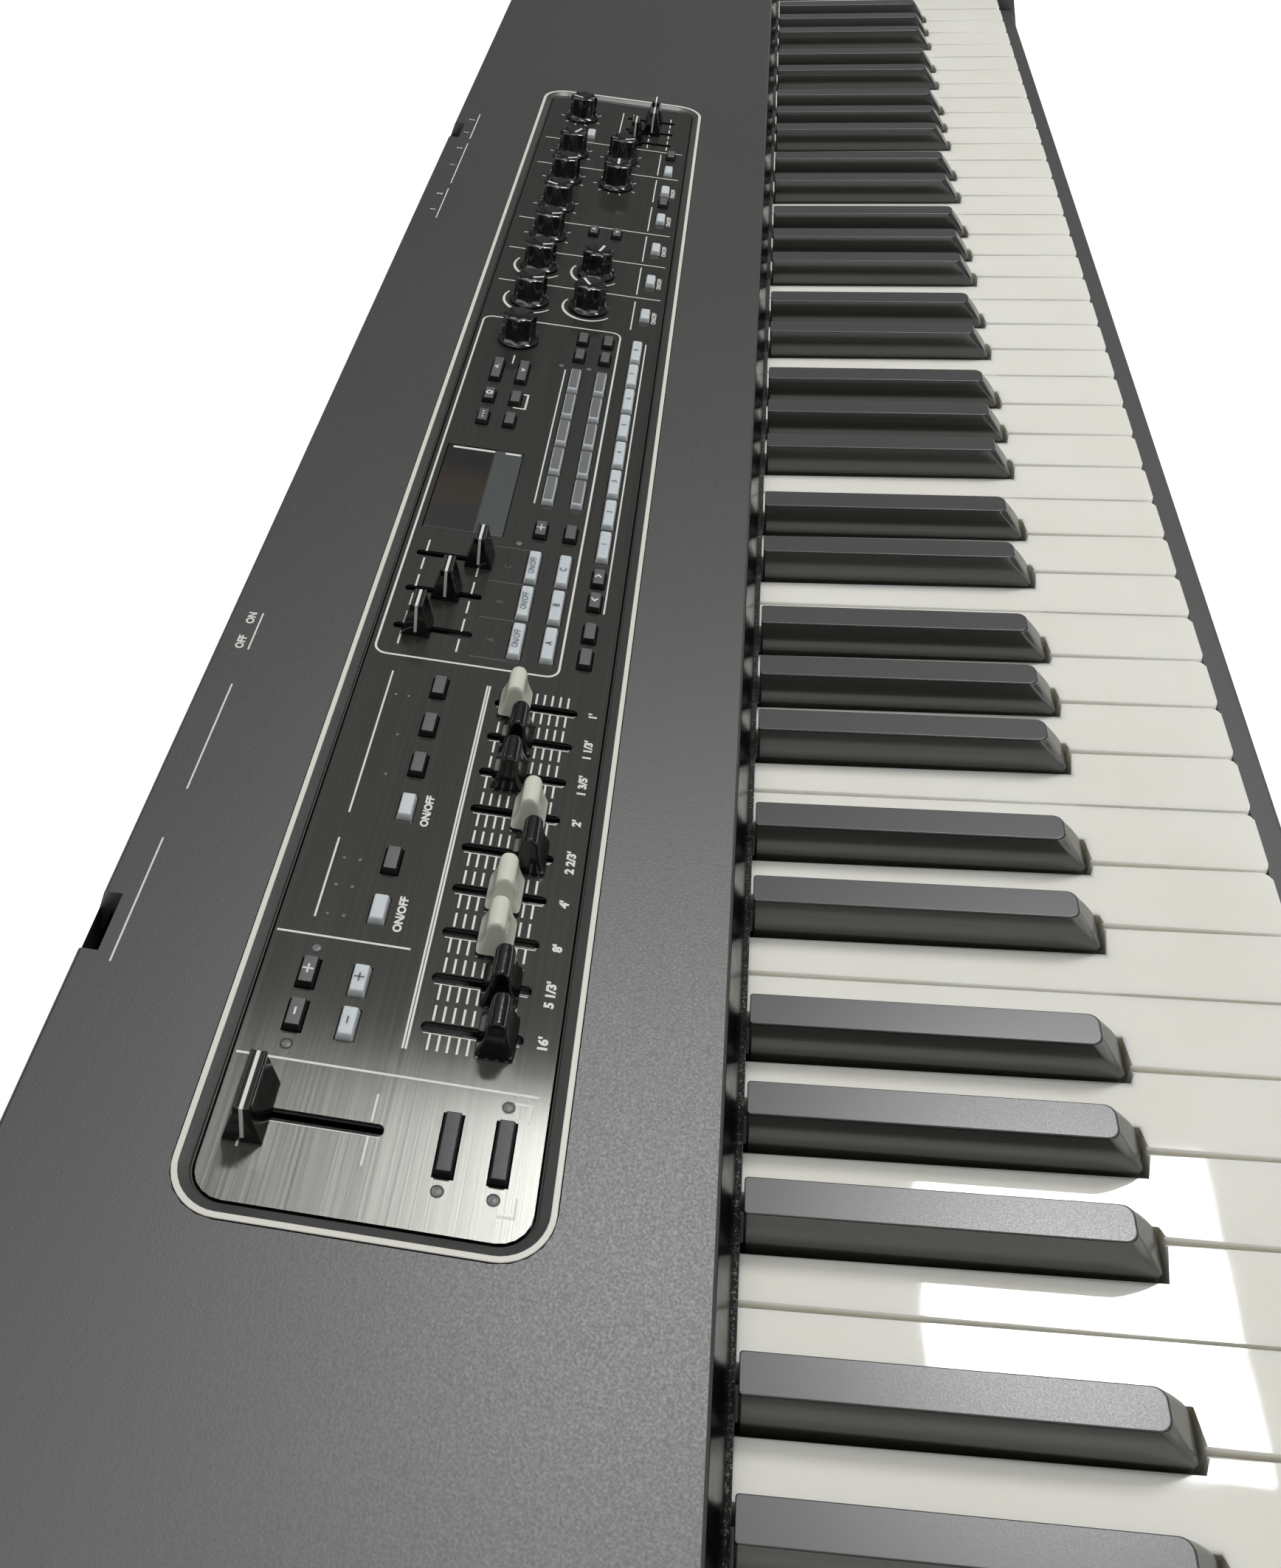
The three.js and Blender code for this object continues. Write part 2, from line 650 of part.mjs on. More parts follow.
// Buttons, each [share of length, share of width]; wide ones are 16 mm long
const smallPale = [
  [0.0745, 0.674], [0.094, 0.674], [0.1288, 0.674], [0.185, 0.674],
  [0.641, 0.102], [0.6898, 0.102], [0.7391, 0.102], [0.7881, 0.102], [0.837, 0.102],
  [0.8741, 0.102], [0.9266, 0.667],
];
const smallDark = [
  [0.075, 0.845], [0.0943, 0.845], [0.1545, 0.674], [0.2103, 0.674], [0.2357, 0.674],
  [0.2611, 0.674], [0.3926, 0.413], [0.3926, 0.276], [0.578, 0.413], [0.5989, 0.413],
  [0.578, 0.276], [0.5989, 0.276], [0.4942, 0.822], [0.5184, 0.822], [0.4942, 0.687],
  [0.5184, 0.687], [0.2953, 0.117], [0.3148, 0.117], [0.3391, 0.117], [0.3583, 0.117],
  [0.754, 0.494], [0.754, 0.353], [0.8159, 0.102], [0.9039, 0.102],
];
const wideDark = [[0.0324, 0.284], [0.0324, 0.12], [0.5487, 0.822], [0.5487, 0.687]];
const wideRowShares = [0.413, 0.276];
const liveRowShare = 0.117;
const layerButtonShare = 0.3014;
const categoryStartShare = 0.4299;
const liveStartShare = 0.3859;
const layerButtonCount = 3;
const categoryButtonCount = 5;
const liveButtonCount = 8;

const spot = (shares, length) => ({ x: panelX(shares[0]), s: panelS(shares[1]), length });
const row = (startShare, widthShare, count) => Array.from({ length: count }, (_, i) => ({
  x: panelX(startShare) + i * wideButtonPitch, s: panelS(widthShare), length: wideButtonLength }));
const paleButtons = [
  ...smallPale.map((shares) => spot(shares, smallButtonLength)),
  ...wideRowShares.flatMap((share) => row(layerButtonShare, share, layerButtonCount)),
  ...wideRowShares.flatMap((share) => row(categoryStartShare, share, categoryButtonCount)),
  ...row(liveStartShare, liveRowShare, liveButtonCount),
];
const darkButtons = [
  ...smallDark.map((shares) => spot(shares, smallButtonLength)),
  ...wideDark.map((shares) => spot(shares, wideButtonLength)),
];

// Sliders, each with its slot and its resting place
const slotTravel = (slotLength) => slotLength - 2 * slotTickMargin;
function fader(name, x, frontShare, slotLength, travelShare, kind) {
  const frontS = panelS(frontShare);
  const s = frontS + slotTickMargin + travelShare * slotTravel(slotLength);
  return { name, x, frontS, slotLength, s, kind };
}
const faders = [
  fader('slider_master_volume', panelX(masterSliderShare), masterFaderFrontShare, masterSlotLength,
    masterTravelShare, 'master'),
  ...drawbarTravelShares.map((share, i) => fader(`drawbar_${i + 1}`,
    panelX(drawbarStartShare) + i * faderPitch, faderFrontShare, faderSlotLength, share, 'drawbar')),
  ...layerTravelShares.map((share, i) => fader(`slider_layer_${i + 1}`,
    panelX(layerSliderStartShare) + i * wideButtonPitch, layerFaderFrontShare, faderSlotLength,
    share, 'fader')),
  ...equaliserTravelShares.map((share, i) => fader(`slider_equaliser_${i + 1}`,
    panelX(equaliserStartShare) + i * equaliserPitch, faderFrontShare, faderSlotLength, share,
    'fader')),
];

// Knobs: the encoder, then one column after another along the upper and lower rows
const knobColumn = (i) => panelX(knobStartShare) + i * knobPitch;
const upperColumnCount = 6;
const lowerColumns = [0, 1, 4, 5];
const knobs = [
  { name: 'knob_encoder', x: panelX(encoderShare), s: panelS(upperKnobShare) },
  ...Array.from({ length: upperColumnCount }, (_, i) => (
    { name: `knob_upper_${i + 1}`, x: knobColumn(i), s: panelS(upperKnobShare) })),
  { name: `knob_upper_${upperColumnCount + 1}`, x: panelX(lastKnobShare), s: panelS(upperKnobShare) },
  ...lowerColumns.map((column, i) => (
    { name: `knob_lower_${i + 1}`, x: knobColumn(column), s: panelS(lowerKnobShare) })),
];

const displayLengthShare = 0.0796;
const displayWidthShare = 0.3675;
const display = {
  x0: panelX(displayShares[0]), x1: panelX(displayShares[0] + displayLengthShare),
  s0: panelS(displayShares[1]), s1: panelS(displayShares[1] + displayWidthShare),
};

// Control panel: brushed plate with all its slots and holes
function controlPanel() {
  const top = -panelRecess;
  const bottom = top - panelThickness;
  const z0 = bottom - overrun;
  const z1 = top + overrun;
  const plate = prismZ(roundedOutline(panelLeftX, panelLeftX + panelLength, panelFrontS,
    panelFrontS + panelWidth, panelRadius, ringStepCount), bottom, top);
  const buttonHoles = [...paleButtons, ...darkButtons].map(({ x, s, length }) => box(
    x - length / 2 - gap, x + length / 2 + gap, s - buttonWidth / 2 - gap,
    s + buttonWidth / 2 + gap, z0, z1));
  const slots = faders.map(({ x, frontS, slotLength }) => prismZ(roundedOutline(x - slotWidth / 2,
    x + slotWidth / 2, frontS, frontS + slotLength, slotWidth * slotCornerShare, slotStepCount),
  z0, z1));
  const shaftHoles = knobs.map(({ x, s }) => bar('z', shaftRadius + gap, z1 - z0, x, s, z0,
    shaftHoleSideCount));
  const window = box(display.x0 - gap, display.x1 + gap, display.s0 - gap, display.s1 + gap, z0, z1);
  return cutFrom(plate, buttonHoles, slots, shaftHoles, window);
}
addPart('control_panel', controlPanel(), finishes.panel, slope);

addPart('display_module', box(display.x0, display.x1, display.s0, display.s1,
  boardTopN + gap, -panelRecess), finishes.display, slope);

// Board under the panel, with the posts that hold it off the panel
function panelBoard() {
  const plate = box(panelLeftX + boardInset, panelLeftX + panelLength - boardInset,
    panelFrontS + boardInset, panelFrontS + panelWidth - boardInset,
    boardTopN - boardThickness, boardTopN);
  const posts = boardPostShares.map(([lengthShare, widthShare]) => bar('z', boardPostRadius,
    boardDrop - panelThickness - gap + boardThickness / 2, panelX(lengthShare), panelS(widthShare),
    boardTopN - boardThickness / 2, pinSideCount));
  return joined(plate, posts);
}
const boardPostShares = [[0.02, 0.85], [0.275, 0.85], [0.352, 0.86], [0.62, 0.25], [0.915, 0.2],
  [0.98, 0.3], [0.275, 0.2], [0.066, 0.2]];
addPart('panel_board', panelBoard(), finishes.board, slope);

// Slider caps
function capProfile(base, top, height, shoulderShare) {
  const z0 = -panelRecess + gap;
  const z1 = -panelRecess + height;
  return [[-base / 2, z0], [base / 2, z0], [top / 2, z0 + (z1 - z0) * shoulderShare],
    [top / 2, z1], [-top / 2, z1], [-top / 2, z0 + (z1 - z0) * shoulderShare]];
}
const faderShoulderShare = 0.82;
const capTaperShare = 0.97;
const drawbarShoulderShare = 0.3;
const stem = () => box(-faderStemWidth / 2, faderStemWidth / 2, -faderStemLength / 2,
  faderStemLength / 2, boardTopN + gap, -panelRecess + gap + overrun);

function faderCap(length) {
  const side = prismX(capProfile(faderCapBase, faderCapTop, faderCapHeight, faderShoulderShare),
    -length, length);
  const front = prismY(capProfile(length, length * capTaperShare, faderCapHeight,
    faderShoulderShare), -faderCapBase, faderCapBase);
  return joined(side.intersect(front), stem());
}

function drawbarCap() {
  const z0 = -panelRecess + gap;
  const ridge = drawbarRidge / 2;
  const ridgeZ = -panelRecess + drawbarHeight - ridge;
  const arc = Array.from({ length: ridgeStepCount + 1 }, (_, i) => {
    const angle = Math.PI * i / ridgeStepCount;
    return [ridge * Math.cos(angle), ridgeZ + ridge * Math.sin(angle)];
  });
  const waistZ = z0 + (ridgeZ - z0) * drawbarShoulderShare;
  const half = drawbarBaseWidth / 2;
  const waist = (half + ridge) / 2;
  const side = prismX([[-half, z0], [half, z0], [waist, waistZ], ...arc, [-waist, waistZ]],
    -drawbarBaseLength, drawbarBaseLength);
  const front = prismY(capProfile(drawbarBaseLength, drawbarTopLength, drawbarHeight,
    faderShoulderShare), -drawbarBaseWidth, drawbarBaseWidth);
  return joined(side.intersect(front), stem());
}

const capMakers = {
  master: () => faderCap(masterCapLength),
  fader: () => faderCap(faderCapLength),
  drawbar: drawbarCap,
};
const whiteDrawbars = ['drawbar_3', 'drawbar_4', 'drawbar_6', 'drawbar_9'];
for (const { name, x, s, kind } of faders) {
  const material = whiteDrawbars.includes(name) ? finishes.whiteCap : finishes.blackCap;
  addPart(name, capMakers[kind](), material, slope, x, s, 0);
}

// Knobs: shaft, flared skirt and fluted body in one moulding, the hardest shape of the part
function knobSolid() {
  const z0 = -panelRecess + gap;
  const top = -panelRecess + knobHeight;
  // radius, height and depth of the flutes at each level
  const levels = [
    [shaftRadius, boardTopN + gap, 0],
    [shaftRadius, z0, 0],
    [knobSkirtRadius, z0, 0],
    [knobSkirtRadius, z0 + knobRimHeight, 0],
    [knobBodyRadius, z0 + knobSkirtHeight, knobFluteShare],
    [knobTopRadius, top - knobEdge, knobFluteShare],
    [knobTopRadius - knobEdge, top, knobFluteShare],
    [knobTopRadius * knobDishShare, top - knobDish, 0],
  ];
  const rings = levels.map(([radius, z, flute]) => Array.from({ length: knobSideCount }, (_, i) => {
    const angle = 2 * Math.PI * i / knobSideCount;
    const r = radius * (1 - flute / 2 * (1 - Math.cos(knobFluteCount * angle)));
    return [r * Math.cos(angle), r * Math.sin(angle), z];
  }));
  return loft(rings);
}
for (const { name, x, s } of knobs) addPart(name, knobSolid(), finishes.knob, slope, x, s, 0);

// Button webs: caps that pass through the panel, joined below it by thin bars.
// Pale bars run under the rear half of each row, dark bars lower and under the front half.
const spineShares = { pale: 0.544, dark: 0.503 };
const paleCaps = ({ x, s, length }, bottomN) => {
  const w = buttonWidth;
  const rings = [[bottomN, 0], [-panelRecess, 0], [-panelRecess + buttonProud, buttonDraft]];
  return loft(rings.map(([n, inset]) => ringAt([
    [x - length / 2 + inset, s - w / 2 + inset], [x + length / 2 - inset, s - w / 2 + inset],
    [x + length / 2 - inset, s + w / 2 - inset], [x - length / 2 + inset, s + w / 2 - inset],
  ], n)));
};

function webBar(x0, x1, s0, s1, topN) {
  return box(Math.min(x0, x1), Math.max(x0, x1), Math.min(s0, s1), Math.max(s0, s1),
    topN - webThickness, topN);
}

function buttonWeb(buttons, rows, ribs, spine, bottomN, barN, side) {
  const half = smallButtonLength / 2;
  const barS = (share) => panelS(share) + side * (gap / 2);
  const caps = buttons.map((button) => paleCaps(button, bottomN));
  const stems = buttons.map(({ x, s, length }) => box(x - length / 2, x + length / 2,
    s + Math.min(side * gap / 2, side * buttonWidth / 2), s + Math.max(side * gap / 2,
      side * buttonWidth / 2), barN - webThickness, bottomN + webThickness / 2));
  const rowBars = rows.map(([share, from, to]) => webBar(panelX(from) - half, panelX(to) + half,
    barS(share), barS(share) + side * webBarWidth, barN));
  const spineS = panelS(spine.share);
  const ribBars = ribs.map(([at, from, to]) => webBar(panelX(at) - webBarWidth / 2,
    panelX(at) + webBarWidth / 2, panelS(from), panelS(to), barN));
  const spineBar = webBar(panelX(spine.from), panelX(spine.to), spineS - webBarWidth / 2,
    spineS + webBarWidth / 2, barN);
  return joined(caps, stems, rowBars, ribBars, spineBar);
}

// rows are [share of width, from, to]; ribs are [share of length, from, to]
const paleRows = [[0.674, 0.0745, 0.185], [0.413, 0.296, 0.5477], [0.276, 0.296, 0.5477],
  [0.117, 0.3859, 0.5919], [0.102, 0.5919, 0.8741], [0.667, 0.9266, 0.9266]];
const paleRibs = [[0.112, 0.544, 0.69], [0.467, 0.12, 0.544], [0.9266, 0.544, 0.69]];
const darkRows = [[0.845, 0.075, 0.0943], [0.674, 0.1545, 0.2611], [0.284, 0.0324, 0.055],
  [0.12, 0.0324, 0.055], [0.413, 0.38, 0.5989], [0.276, 0.38, 0.5989],
  [0.117, 0.2953, 0.378], [0.822, 0.4942, 0.5487], [0.687, 0.4942, 0.5487],
  [0.494, 0.754, 0.754], [0.353, 0.754, 0.754], [0.102, 0.754, 0.9039]];
const darkRibs = [[0.0846, 0.503, 0.84], [0.1756, 0.503, 0.668], [0.055, 0.1, 0.503],
  [0.378, 0.1, 0.503], [0.506, 0.503, 0.81], [0.754, 0.08, 0.503]];

const paleN = -panelRecess - webPaleDrop;
const darkN = paleN - webThickness - buttonTravel - gap;
addPart('buttons_pale', buttonWeb(paleButtons, paleRows, paleRibs,
  { share: spineShares.pale, from: 0.11, to: 0.9286 }, paleN, paleN, 1), finishes.pale, slope);
addPart('buttons_dark', buttonWeb(darkButtons, darkRows, darkRibs,
  { share: spineShares.dark, from: 0.0535, to: 0.7555 }, -panelRecess - darkBodyDrop, darkN, -1),
finishes.dark, slope);

// Bend and modulation levers, turning on pins in the cover's cheeks
function leverSolid() {
  const tip = leverPivotDrop + leverProud;
  const blade = prismX([
    [-leverRootThickness / 2, 0], [leverRootThickness / 2, 0],
    [leverTipThickness / 2, tip - leverTipThickness / 2], [0, tip],
    [-leverTipThickness / 2, tip - leverTipThickness / 2],
  ], -leverWidth / 2, leverWidth / 2);
  const hub = bar('x', leverHubRadius, leverWidth, -leverWidth / 2, 0, 0);
  const pinLength = leverWidth + 2 * (leverCheek + gap);
  const pin = bar('x', leverPinRadius, pinLength, -pinLength / 2, 0, 0);
  return joined(blade, hub, pin);
}
['lever_pitch_bend', 'lever_modulation'].forEach((name, i) => addPart(name, leverSolid(),
  finishes.blackCap, slope, leverPairX + (i - 0.5) * leverSpacing, leverS, -leverPivotDrop));

// Felt strip between the keys and the cover
const feltZ = slopeZ - coverWallHeight - gap;
const feltY = slopeY - coverWallLean - feltShowing;
addPart('key_felt', box(-innerX + gap, innerX - gap, feltY, feltY + feltShowing + feltTuck,
  feltZ - feltThickness, feltZ), finishes.felt);

// Key slip: the moulding along the front of the keys
function keySlip() {
  const t = shellThickness;
  const topZ = keyTopZ - slipTopDrop;
  const innerY = keyFrontY - slipKeyGap;
  const outerY = innerY - slipTopWidth;
  const faceY = outerY - slipBulge;
  const bottomZ = footHeight + frontWallHeight + gap;
  const faceZ = topZ - slipBulgeDrop;
  const outline = [
    [innerY, topZ], [outerY, topZ], [faceY, faceZ], [-halfDepth, topZ - slipFaceDrop],
    [-halfDepth, bottomZ], [-halfDepth + t, bottomZ], [-halfDepth + t, topZ - slipFaceDrop],
    [faceY + t, faceZ], [outerY + t / 2, topZ - t], [innerY - t, topZ - t],
    [innerY - t, topZ - slipBulgeDrop], [innerY, topZ - slipBulgeDrop],
  ];
  return prismX(outline.reverse(), -innerX + gap, innerX - gap);
}
addPart('key_slip', keySlip(), finishes.block);

// End blocks: mouldings that close the body at each end, ribbed inside
const cheekRise = 6 * mm;
const ribThickness = 3 * mm;
const keyRibShare = 0.46;        // of the way along the keys
const coverRibShares = [0.05, 0.57]; // of the way up the slope of the cover
function endBlock(side) {
  const sin = Math.sin(coverSlope);
  const cos = Math.cos(coverSlope);
  const topZ = keyTopZ - slipTopDrop;
  const outerY = keyFrontY - slipKeyGap - slipTopWidth;
  const rearY = slopeY + coverSlopeLength * cos;
  const rearZ = slopeZ + coverSlopeLength * sin;
  const cheekZ = keyTopZ + cheekRise;
  const outlineIn = (t) => [
    [-halfDepth + t, footHeight - (t ? overrun : 0)], [halfDepth - t, footHeight - (t ? overrun : 0)],
    [halfDepth - t, rearZ - coverRearDrop], [rearY - t, rearZ - t], [slopeY + t, slopeZ - t],
    [slopeY - coverWallLean + t, cheekZ - t], [outerY + t, cheekZ - t],
    [outerY - slipBulge + t, topZ - slipBulgeDrop], [-halfDepth + t, topZ - slipFaceDrop],
  ];
  const x0 = side > 0 ? innerX : -halfLength;
  const x1 = x0 + endBlockWidth;
  const block = prismX(outlineIn(0), x0, x1);
  const hollow = prismX(outlineIn(shellThickness), x0 + shellThickness, x1 - shellThickness);
  const ribPlaces = [keyFrontY + naturalLength * keyRibShare,
    ...coverRibShares.map((share) => slopeY + coverSlopeLength * share)];
  const ribs = ribPlaces.map((y) => box(x0 + shellThickness / 2, x1 - shellThickness / 2,
    y - ribThickness / 2, y + ribThickness / 2, footHeight, cheekZ - shellThickness / 2));
  return joined(cutFrom(block, hollow), ribs);
}
addPart('end_block_left', endBlock(-1), finishes.block);
addPart('end_block_right', endBlock(1), finishes.block);

// Bottom case: floor with front wall, rear wall and ledge, feet and speaker grilles
function bottomCase() {
  const t = shellThickness;
  const plateRearY = halfDepth - jackPlateSetback + gap;
  const rearTopZ = footHeight + rearWallHeight;
  const outline = [
    [-halfDepth, footHeight], [halfDepth, footHeight], [halfDepth, rearTopZ],
    [plateRearY, rearTopZ], [plateRearY, rearTopZ - t], [halfDepth - t, rearTopZ - t],
    [halfDepth - t, floorTopZ], [-halfDepth + t, floorTopZ],
    [-halfDepth + t, footHeight + frontWallHeight], [-halfDepth, footHeight + frontWallHeight],
  ];
  const tray = prismX(outline, -innerX + gap, innerX - gap);
  const feet = [];
  for (const x of [-footX, footX]) {
    for (const y of [-footY, footY]) {
      feet.push(bar('z', footRadius, footHeight + floorThickness / 2, x, y, 0,
        largeRoundSideCount));
    }
  }
  const slots = [];
  for (const x of [-speakerX, speakerX]) {
    for (let i = 0; i < grilleSlotCount; i += 1) {
      const slotX = x + (i - (grilleSlotCount - 1) / 2) * grillePitch;
      const share = (slotX - x) / speakerHalfLength;
      const length = grilleSlotLength * Math.sqrt(1 - share * share);
      slots.push(box(slotX - grilleSlotWidth / 2, slotX + grilleSlotWidth / 2,
        speakerY - length / 2, speakerY + length / 2, footHeight - overrun, floorTopZ + overrun));
    }
  }
  return cutFrom(joined(tray, feet), slots);
}
addPart('bottom_case', bottomCase(), finishes.bottom);

// Speakers over the grilles, facing down
function speaker() {
  const z0 = floorTopZ + gap;
  const ovalAt = (share, z) => Array.from({ length: ovalSideCount }, (_, i) => {
    const angle = 2 * Math.PI * i / ovalSideCount;
    return [share * speakerHalfLength * Math.cos(angle), share * speakerHalfWidth * Math.sin(angle), z];
  });
  const basketTopZ = z0 + speakerFlange + speakerBasketHeight;
  const basket = loft([ovalAt(1, z0), ovalAt(1, z0 + speakerFlange),
    ovalAt(speakerBasketShare, z0 + speakerFlange), ovalAt(speakerNeckShare, basketTopZ)]);
  const cone = loft([ovalAt(speakerBasketShare, z0 - overrun), ovalAt(speakerBasketShare, z0),
    ovalAt(speakerNeckShare / 2, basketTopZ - speakerFlange * 2)]);
  const magnet = bar('z', speakerMagnetRadius, speakerMagnetHeight + overrun, 0, 0,
    basketTopZ - overrun, largeRoundSideCount);
  return joined(cutFrom(basket, cone), magnet);
}
addPart('speaker_left', speaker(), finishes.speaker, piano, -speakerX, speakerY, 0);
addPart('speaker_right', speaker(), finishes.speaker, piano, speakerX, speakerY, 0);

// Rear plate with its sockets, switches and gain control
function jackPanel() {
  const y1 = halfDepth - jackPlateSetback;
  const y0 = y1 - jackPlateThickness;
  const z = socketRowHeight;
  const topZ = slopeZ + coverSlopeLength * Math.sin(coverSlope) - coverRearDrop;
  const plate = box(-innerX + gap, innerX - gap, y0, y1, floorTopZ + gap, topZ - gap);

  const shells = [];
  const bores = [];
  const pins = [];
  const roundSocket = (x, shellRadius, boreRadius, depth, collar) => {
    shells.push(bar('y', shellRadius, depth + jackPlateThickness / 2 + portWall, x,
      y0 - depth - portWall, z, socketSideCount));
    if (collar) {
      shells.push(bar('y', shellRadius - portWall / 2, jackPlateThickness / 2 + collar, x,
        y1 - jackPlateThickness / 2, z, collarSideCount));
    }
    bores.push(bar('y', boreRadius, depth + jackPlateThickness + collar + overrun, x, y0 - depth, z,
      socketSideCount));
  };
  const squareSocket = (x, length, height) => {
    const halfX = length / 2;
    const halfZ = height / 2;
    shells.push(box(x - halfX - portWall, x + halfX + portWall, y0 - portDepth - portWall,
      y0 + jackPlateThickness / 2, z - halfZ - portWall, z + halfZ + portWall));
    bores.push(box(x - halfX, x + halfX, y0 - portDepth, y1 + overrun, z - halfZ, z + halfZ));
  };
  squareSocket(hostX, hostPortLength, hostPortHeight);
  squareSocket(deviceX, devicePortLength, devicePortHeight);
  for (const x of [midiInX, midiOutX]) roundSocket(x, midiShellRadius, midiBoreRadius, midiDepth, 0);
  for (const x of [firstPedalX, secondPedalX, leftInputX, rightInputX, leftOutputX, rightOutputX,
    phonesX]) {
    roundSocket(x, jackShellRadius, jackBoreRadius, jackDepth, jackCollar);
  }
  roundSocket(inletX, jackShellRadius, inletBoreRadius, portDepth, 0);
  pins.push(bar('y', inletPinRadius, portDepth + portWall, inletX, y0 - portDepth - portWall / 2, z,
    pinSideCount));
  const controls = [
    box(speakerSwitchX - switchLength / 2, speakerSwitchX + switchLength / 2,
      y0, y1 + switchProud, z - switchHeight / 2, z + switchHeight / 2),
    bar('y', powerButtonRadius, jackPlateThickness + switchProud, powerX, y0, z),
    bar('y', gainKnobRadius, jackPlateThickness + gainKnobProud, gainX, y0, z),
  ];
  return joined(cutFrom(joined(plate, shells), bores), pins, controls);
}
addPart('jack_panel', jackPanel(), finishes.jackPlate);

export default piano;
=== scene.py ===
import json
import math

import bmesh
import bpy
from mathutils import Matrix, Vector

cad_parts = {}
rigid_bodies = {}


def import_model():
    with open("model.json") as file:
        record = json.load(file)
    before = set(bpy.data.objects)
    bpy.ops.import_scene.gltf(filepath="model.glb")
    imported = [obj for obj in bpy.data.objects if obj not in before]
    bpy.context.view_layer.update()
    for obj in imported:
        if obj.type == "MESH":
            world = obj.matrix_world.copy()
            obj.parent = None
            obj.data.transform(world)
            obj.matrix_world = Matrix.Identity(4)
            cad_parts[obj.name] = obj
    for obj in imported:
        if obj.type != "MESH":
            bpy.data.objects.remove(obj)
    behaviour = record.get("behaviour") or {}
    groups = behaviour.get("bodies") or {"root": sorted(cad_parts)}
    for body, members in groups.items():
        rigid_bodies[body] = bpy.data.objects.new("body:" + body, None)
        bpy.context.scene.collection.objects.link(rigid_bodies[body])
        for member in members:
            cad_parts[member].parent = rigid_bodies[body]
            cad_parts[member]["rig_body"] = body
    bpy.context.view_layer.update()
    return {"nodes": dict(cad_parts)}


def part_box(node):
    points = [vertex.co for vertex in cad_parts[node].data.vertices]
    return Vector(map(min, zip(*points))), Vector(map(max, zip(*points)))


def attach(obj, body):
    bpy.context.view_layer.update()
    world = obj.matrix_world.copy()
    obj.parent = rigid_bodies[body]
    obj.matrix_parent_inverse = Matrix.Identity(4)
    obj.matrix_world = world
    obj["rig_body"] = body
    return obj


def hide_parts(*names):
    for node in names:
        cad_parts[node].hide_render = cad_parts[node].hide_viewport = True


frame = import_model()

mm = 0.001

# places shared by the pieces
# the panel and cover lie in a sloped frame: x along the body, s up the slope, n off the surface
slope = {"frontY": -3.5, "frontZ": 119.0, "angle": 8.31}
slopeFrame = (Matrix.Translation((0, slope["frontY"] * mm, slope["frontZ"] * mm))
              @ Matrix.Rotation(math.radians(slope["angle"]), 4, "X"))
panel = {"left": -332.8, "right": 340.4, "front": 41.8, "rear": 119.7, "top": -1.3, "corner": 8.0}


def onSlope(x, s, n):
    return slopeFrame @ Vector((x * mm, s * mm, n * mm))


def level(red, green, blue):
    # a display colour from 0 to 255, as the linear colour that a shader takes
    def linear(value):
        share = value / 255
        return share / 12.92 if share <= 0.04045 else ((share + 0.055) / 1.055) ** 2.4
    return (linear(red), linear(green), linear(blue), 1.0)


# finishes
def newFinish(name, **values):
    finish = bpy.data.materials.new(name)
    finish.use_nodes = True
    shader = finish.node_tree.nodes["Principled BSDF"]
    for socket, value in values.items():
        shader.inputs[socket.replace("_", " ")].default_value = value
    return finish


def addNoise(finish, scale, detail=3.0, rough=0.5, stretch=(1, 1, 1)):
    tree = finish.node_tree
    place = tree.nodes.new("ShaderNodeTexCoord")
    mapping = tree.nodes.new("ShaderNodeMapping")
    noise = tree.nodes.new("ShaderNodeTexNoise")
    mapping.inputs["Scale"].default_value = stretch
    noise.inputs["Scale"].default_value = scale
    noise.inputs["Detail"].default_value = detail
    noise.inputs["Roughness"].default_value = rough
    tree.links.new(place.outputs["Object"], mapping.inputs["Vector"])
    tree.links.new(mapping.outputs["Vector"], noise.inputs["Vector"])
    return noise.outputs["Fac"]


def tintBy(finish, source, darker, lighter, low=0.3, high=0.7):
    tree = finish.node_tree
    ramp = tree.nodes.new("ShaderNodeValToRGB")
    ramp.color_ramp.elements[0].position = low
    ramp.color_ramp.elements[0].color = darker
    ramp.color_ramp.elements[1].position = high
    ramp.color_ramp.elements[1].color = lighter
    tree.links.new(source, ramp.inputs["Fac"])
    tree.links.new(ramp.outputs["Color"], tree.nodes["Principled BSDF"].inputs["Base Color"])


def glossBy(finish, source, smoother, rougher, low=0.3, high=0.7):
    tree = finish.node_tree
    spread = tree.nodes.new("ShaderNodeMapRange")
    spread.inputs["From Min"].default_value = low
    spread.inputs["From Max"].default_value = high
    spread.inputs["To Min"].default_value = smoother
    spread.inputs["To Max"].default_value = rougher
    tree.links.new(source, spread.inputs["Value"])
    tree.links.new(spread.outputs["Result"], tree.nodes["Principled BSDF"].inputs["Roughness"])


def reliefBy(finish, source, depth):
    tree = finish.node_tree
    bump = tree.nodes.new("ShaderNodeBump")
    bump.inputs["Distance"].default_value = depth * mm
    bump.inputs["Strength"].default_value = 1.0
    tree.links.new(source, bump.inputs["Height"])
    tree.links.new(bump.outputs["Normal"], tree.nodes["Principled BSDF"].inputs["Normal"])


def mouldedPlastic(name, dark, light, smooth, rough, grain=1500, depth=0.03, patches=9):
    finish = newFinish(name)
    tintBy(finish, addNoise(finish, patches, 5), dark, light)
    fine = addNoise(finish, grain, 2)
    glossBy(finish, fine, smooth, rough)
    reliefBy(finish, fine, depth)
    return finish


